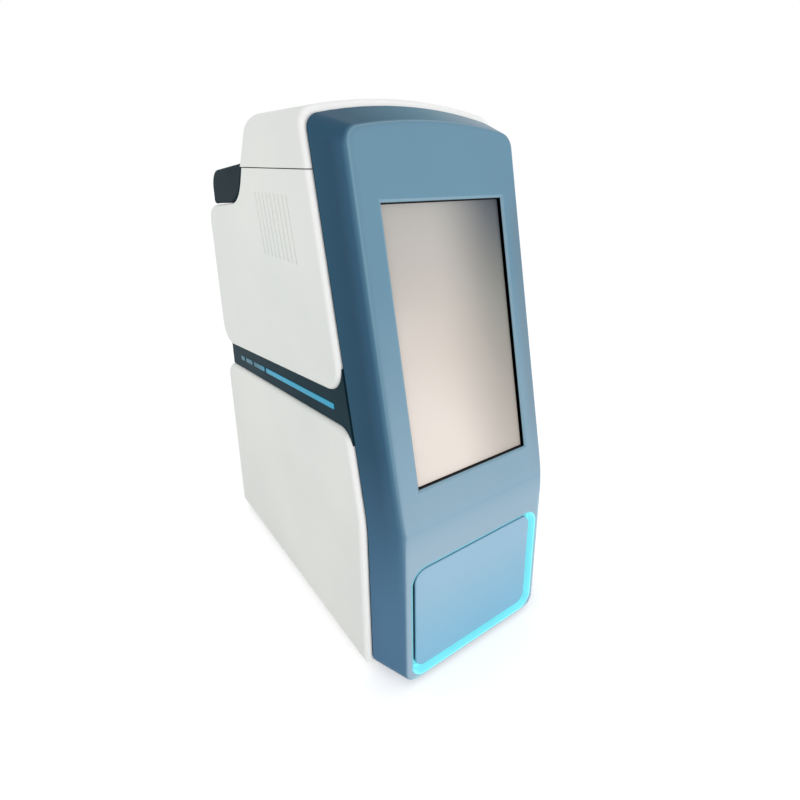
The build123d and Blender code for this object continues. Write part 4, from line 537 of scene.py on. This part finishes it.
def bezel_body(tree, depth, rise, z):
    """Blue of the bezel by depth, with a painted highlight on the ridge and the lower face painted
    lighter as if lit from below; its flank changes with height sooner than its front.
    """
    part = calculate(tree, "DIVIDE", depth, BEZEL_SPAN)
    upper = ramp(tree, part, UPPER_TONES_AND_LIGHT)
    lower = ramp(tree, part, LOWER_TONES_AND_LIGHT)
    flank_rise = fade(tree, z, FLANK_BAND)
    difference = calculate(tree, "SUBTRACT", flank_rise, rise)
    change = calculate(tree, "MULTIPLY", fade(tree, depth, FLANK_DEPTH), difference)
    return mix_colours(tree, calculate(tree, "ADD", rise, change), lower, upper)


def bezel_finish():
    """Slate-blue bezel: pale front, painted highlight on the ridge, deep blue flanks, painted
    reflection on the top wall, painted ring light on the lip, painted highlight on the window's
    bevel and painted shade on its inner walls.
    """
    finish = Finish("front_paint")
    tree = finish.tree
    x, _, z = object_place(tree)
    front = finish.group(front_depth)
    depth = front.outputs["Depth"]
    body = bezel_body(tree, depth, front.outputs["Rise"], z)

    ends = calculate(tree, "MULTIPLY", fade(tree, z, STRIP_FOOT), fade(tree, z, STRIP_TOP))
    strip = calculate(tree, "MULTIPLY", fade(tree, x, STRIP_X), ends)
    body = mix_colours(tree, calculate(tree, "MULTIPLY", strip, STRIP_SHARE), body, STRIP_TONE)

    # Top wall: deep blue, with a painted reflection that lightens it to the right
    crown = calculate(tree, "MULTIPLY", fade(tree, z, CROWN_Z), fade(tree, depth, CROWN_DEPTH))
    body = mix_colours(tree, crown, body, ramp(tree, fade(tree, x, CROWN_X), CROWN_TONES_AND_REFLECTION))

    beside = calculate(tree, "MULTIPLY", fade(tree, x, SPILL_X), fade(tree, z, SPILL_Z))
    lip = calculate(tree, "MAXIMUM", beside, fade(tree, z, SPILL_FOOT))
    spill = calculate(tree, "MULTIPLY", lip, fade(tree, depth, SPILL_DEPTH))
    body = mix_colours(tree, calculate(tree, "MULTIPLY", spill, SPILL_SHARE), body, SPILL_TONE)

    # Painted highlight on the window's bevel, then painted shade on the recess wall behind it
    inside = fade(tree, finish.group(window_edge).outputs["Outside"], BEVEL_EDGE)
    body = mix_colours(tree, inside, body, BEVEL_HIGHLIGHT)
    wall = calculate(tree, "MULTIPLY", inside, fade(tree, depth, WALL_DEPTH))
    satin_paint(finish, mix_colours(tree, wall, body, WALL_SHADE))
    finish.set("Specular IOR Level", BEZEL_SHINE)
    return finish.material


def door_finish():
    """Door of the disc drawer: a lighter blue that deepens downwards with painted ring light at its
    foot, and painted shade on its side walls and back.
    """
    finish = Finish("door_paint")
    tree = finish.tree
    _, _, z = object_place(tree)
    # Face bluer towards its foot: painted light of the ring below it
    face = mix_colours(tree, fade(tree, z, DOOR_Z, smooth=True), DOOR_LOW_RING_LIT, DOOR_HIGH)
    # Painted shade on the door's side walls and back
    wall = fade(tree, finish.group(front_depth).outputs["Depth"], DOOR_WALL_DEPTH)
    satin_paint(finish, mix_colours(tree, wall, face, DOOR_WALL_SHADE))
    finish.set("Specular IOR Level", DOOR_SHINE)
    return finish.material


def shell_finish():
    """Off-white shells, whiter on the rounded rim beside the bezel by a painted highlight."""
    finish = Finish("white_shell")
    tree = finish.tree
    front = finish.group(front_depth)
    body = mix_colours(tree, front.outputs["Rise"], SHELL_LOW, SHELL_HIGH)
    # Painted highlight on the rounded rim
    rim = fade(tree, front.outputs["Depth"], SHELL_RIM_DEPTH, smooth=True)
    satin_paint(finish, mix_colours(tree, rim, body, SHELL_RIM_HIGHLIGHT))
    return finish.material


# Light guides and screen
def ring_level(tree):
    """Glow of the drawer ring: strong along its foot and its right side, weak along the others."""
    x, _, z = object_place(tree)
    side = fade(tree, x, RING_SIDE_X, smooth=True)
    foot = fade(tree, z, RING_FOOT_Z, smooth=True)
    return calculate(tree, "MAXIMUM", side, foot)


def bar_level(tree):
    """Glow of the side bars: strong in front, weak in the short bars at the back."""
    _, y, _ = object_place(tree)
    return fade(tree, y, BAR_Y, smooth=True)


def glowing(name, body, weak, strong, strength, level):
    """Translucent light guide whose glow runs from weak to strong by a level function."""
    finish = Finish(name)
    tree = finish.tree
    surface = finish.group(tone, Color_A=body, Color_B=body, Scale=60.0, Rough_A=0.25, Rough_B=0.32)
    lamps = finish.group(tone, Color_A=PURE_WHITE, Color_B=srgb(238, 244, 246), Scale=35.0)
    glow = mix_colours(tree, level(tree), weak, strong)
    finish.link(surface.outputs["Color"], "Base Color")
    finish.link(surface.outputs["Roughness"], "Roughness")
    finish.link(multiply_colours(tree, glow, lamps.outputs["Color"]), "Emission Color")
    finish.set("Emission Strength", strength)
    finish.set("Specular IOR Level", GUIDE_SHINE)
    return finish.material


def screen_finish():
    """Cover glass over an unlit display: a painted grey reflection that warms towards its foot,
    black border.
    """
    finish = Finish("screen_glass")
    tree = finish.tree
    x, _, z = object_place(tree)
    low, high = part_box("touch_glass")
    rise = fade(tree, z, (low[2] / MM, high[2] / MM))
    left = ramp(tree, rise, SHEEN_LEFT)
    right = ramp(tree, rise, SHEEN_RIGHT)
    # Painted reflection in the base colour of the glass
    sheen = mix_colours(tree, fade(tree, x, SHEEN_X, smooth=True), left, right)
    border = fade(tree, finish.group(window_edge).outputs["Outside"], BORDER_EDGE)
    finish.link(mix_colours(tree, border, sheen, BORDER_TONE), "Base Color")
    surface = finish.group(tone, Scale=30.0, Rough_A=0.12, Rough_B=0.2)
    finish.link(surface.outputs["Roughness"], "Roughness")
    finish.set("Specular IOR Level", SCREEN_SHINE)
    return finish.material


finishes = {
    "front_paint": bezel_finish(),
    "white_shell": shell_finish(),
    "screen_glass": screen_finish(),
    "ring_light": glowing("ring_light", *RING_LIGHT, ring_level),
    "side_light": glowing("side_light", *SIDE_LIGHT, bar_level),
}
finishes.update({name: moulded(name) for name in MOULDINGS})
finishes.update({name: metal(name) for name in METALS})

for entry in frame["record"]["subparts"]:
    piece = nodes[entry["node"]]
    piece.data.materials.clear()
    piece.data.materials.append(finishes[entry["material_slot"]])
nodes["drawer_front"].data.materials[0] = door_finish()
nodes["printer_lid"].data.materials[0] = finishes["lid_shell"]


# New pieces
def extruded(builder, step):
    """Closes a sheet of faces into a solid, its far side moved by a step."""
    walls = bmesh.ops.extrude_face_region(builder, geom=builder.faces[:])
    moved = [item for item in walls["geom"] if isinstance(item, bmesh.types.BMVert)]
    bmesh.ops.translate(builder, verts=moved, vec=step)
    bmesh.ops.recalc_face_normals(builder, faces=builder.faces[:])


def new_piece(name, builder, material):
    """Object at the origin with the built mesh and one material."""
    mesh = bpy.data.meshes.new(name)
    builder.to_mesh(mesh)
    builder.free()
    mesh.materials.append(material)
    piece = bpy.data.objects.new(name, mesh)
    bpy.context.scene.collection.objects.link(piece)
    return piece


def screen_liner():
    """Thin black liner round the screen opening, from under the bevel down to the glass; it also
    stands in for the shade in the recess.
    """
    tilt = math.radians(UPPER_TILT)
    up = Vector((0, math.sin(tilt), math.cos(tilt)))
    out = Vector((0, -math.cos(tilt), math.sin(tilt)))
    middle = (Vector((0, BEND_Y, BEND_Z)) + up * WINDOW_MIDDLE) * MM
    builder = bmesh.new()
    corners = []
    for x, y in ((-1, -1), (1, -1), (1, 1), (-1, 1)):
        corner = middle + Vector((x * LINER_HALF[0] * MM, 0, 0)) + up * (y * LINER_HALF[1] * MM)
        corners.append(builder.verts.new(corner - out * LINER_DEPTH * MM))
    face = builder.faces.new(corners)
    bmesh.ops.inset_region(
        builder, faces=[face], thickness=LINER_WALL * MM, use_boundary=True, use_even_offset=True
    )
    bmesh.ops.delete(builder, geom=[face], context="FACES_ONLY")
    extruded(builder, out * LINER_HEIGHT * MM)
    piece = new_piece("screen_liner", builder, finishes["fitting_plastic"])
    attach(piece, "housing")


def depth_behind_front(place):
    """How far a place, in millimetres, lies behind the front faces."""
    above = place.z - BEND_Z
    lean = max(above * math.tan(math.radians(tilt)) for tilt in (UPPER_TILT, LOWER_TILT))
    return place.y - BEND_Y - lean


def rim_gasket():
    """Dark strip in the gap behind the bezel, a gasket that also stands in for the shade in that
    gap: its rear rim, set in from the edges, thickened.
    """
    builder = bmesh.new()
    builder.from_mesh(nodes["front_bezel"].data)
    bmesh.ops.remove_doubles(builder, verts=builder.verts[:], dist=MERGE_DISTANCE * MM)
    bmesh.ops.recalc_face_normals(builder, faces=builder.faces[:])
    builder.normal_update()
    other = [
        face
        for face in builder.faces
        if face.normal.y < RIM_FACING
        or depth_behind_front(face.calc_center_median() / MM) < RIM_DEPTH
    ]
    bmesh.ops.delete(builder, geom=other, context="FACES")
    border = bmesh.ops.inset_region(
        builder,
        faces=builder.faces[:],
        thickness=GASKET_INSET * MM,
        use_boundary=True,
        use_even_offset=True,
    )
    bmesh.ops.delete(builder, geom=border["faces"], context="FACES")
    extruded(builder, Vector((0, 1, 0)) * GASKET_THICKNESS * MM)
    piece = new_piece("rim_gasket", builder, finishes["dark_shell"])
    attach(piece, "housing")


screen_liner()
rim_gasket()


# Stage: white floor and background, soft studio light and the photograph's camera
def seen_directly(tree):
    """1 where the camera, a mirror or glass looks, and 0 for the light that falls on the object."""
    path = tree.nodes.new("ShaderNodeLightPath")
    seen = calculate(
        tree, "MAXIMUM", path.outputs["Is Camera Ray"], path.outputs["Is Glossy Ray"]
    )
    return calculate(tree, "MAXIMUM", seen, path.outputs["Is Transmission Ray"])


def floor_material():
    """White floor that looks plain white, apart from the object's shadow."""
    finish = Finish("pale_floor")
    finish.set("Base Color", FLOOR_WHITE)
    finish.set("Roughness", FLOOR_ROUGH)
    finish.set("Specular IOR Level", 0.0)
    finish.set("Emission Color", PURE_WHITE)
    lift = calculate(finish.tree, "MULTIPLY", seen_directly(finish.tree), FLOOR_LIFT)
    finish.link(lift, "Emission Strength")
    return finish.material


builder = bmesh.new()
bmesh.ops.create_grid(builder, x_segments=1, y_segments=1, size=FLOOR_HALF)
floor = new_piece("floor", builder, floor_material())

world = bpy.context.scene.world or bpy.data.worlds.new("studio")
bpy.context.scene.world = world
world.use_nodes = True
world_tree = world.node_tree
background = world_tree.nodes["Background"]
background.inputs["Color"].default_value = PURE_WHITE
level = world_tree.nodes.new("ShaderNodeMapRange")
level.inputs["To Min"].default_value = WORLD_LEVEL
level.inputs["To Max"].default_value = 1.0
world_tree.links.new(seen_directly(world_tree), level.inputs["Value"])
world_tree.links.new(level.outputs["Result"], background.inputs["Strength"])

for name, place, target, size, watts in LAMPS:
    lamp_data = bpy.data.lights.new(name, "AREA")
    lamp_data.shape = "RECTANGLE"
    lamp_data.size, lamp_data.size_y = size
    lamp_data.energy = watts
    lamp = bpy.data.objects.new(name, lamp_data)
    lamp.location = place
    aim = Vector(target) - Vector(place)
    lamp.rotation_euler = aim.to_track_quat("-Z", "Y").to_euler()
    bpy.context.scene.collection.objects.link(lamp)

camera_data = bpy.data.cameras.new("camera")
camera_data.lens = CAMERA_LENS
camera_data.shift_x, camera_data.shift_y = CAMERA_SHIFT
camera = bpy.data.objects.new("camera", camera_data)
bpy.context.scene.collection.objects.link(camera)
yaw, pitch, roll = (math.radians(turn) for turn in (CAMERA_YAW, CAMERA_PITCH, CAMERA_ROLL))
forward = Vector(
    (math.sin(yaw) * math.cos(pitch), math.cos(yaw) * math.cos(pitch), -math.sin(pitch))
)
facing = forward.to_track_quat("-Z", "Y").to_matrix() @ Matrix.Rotation(roll, 3, "Z")
camera.location = Vector(CAMERA_PLACE) * MM
camera.rotation_euler = facing.to_euler()
bpy.context.scene.camera = camera
bpy.context.scene.view_settings.view_transform = "Standard"
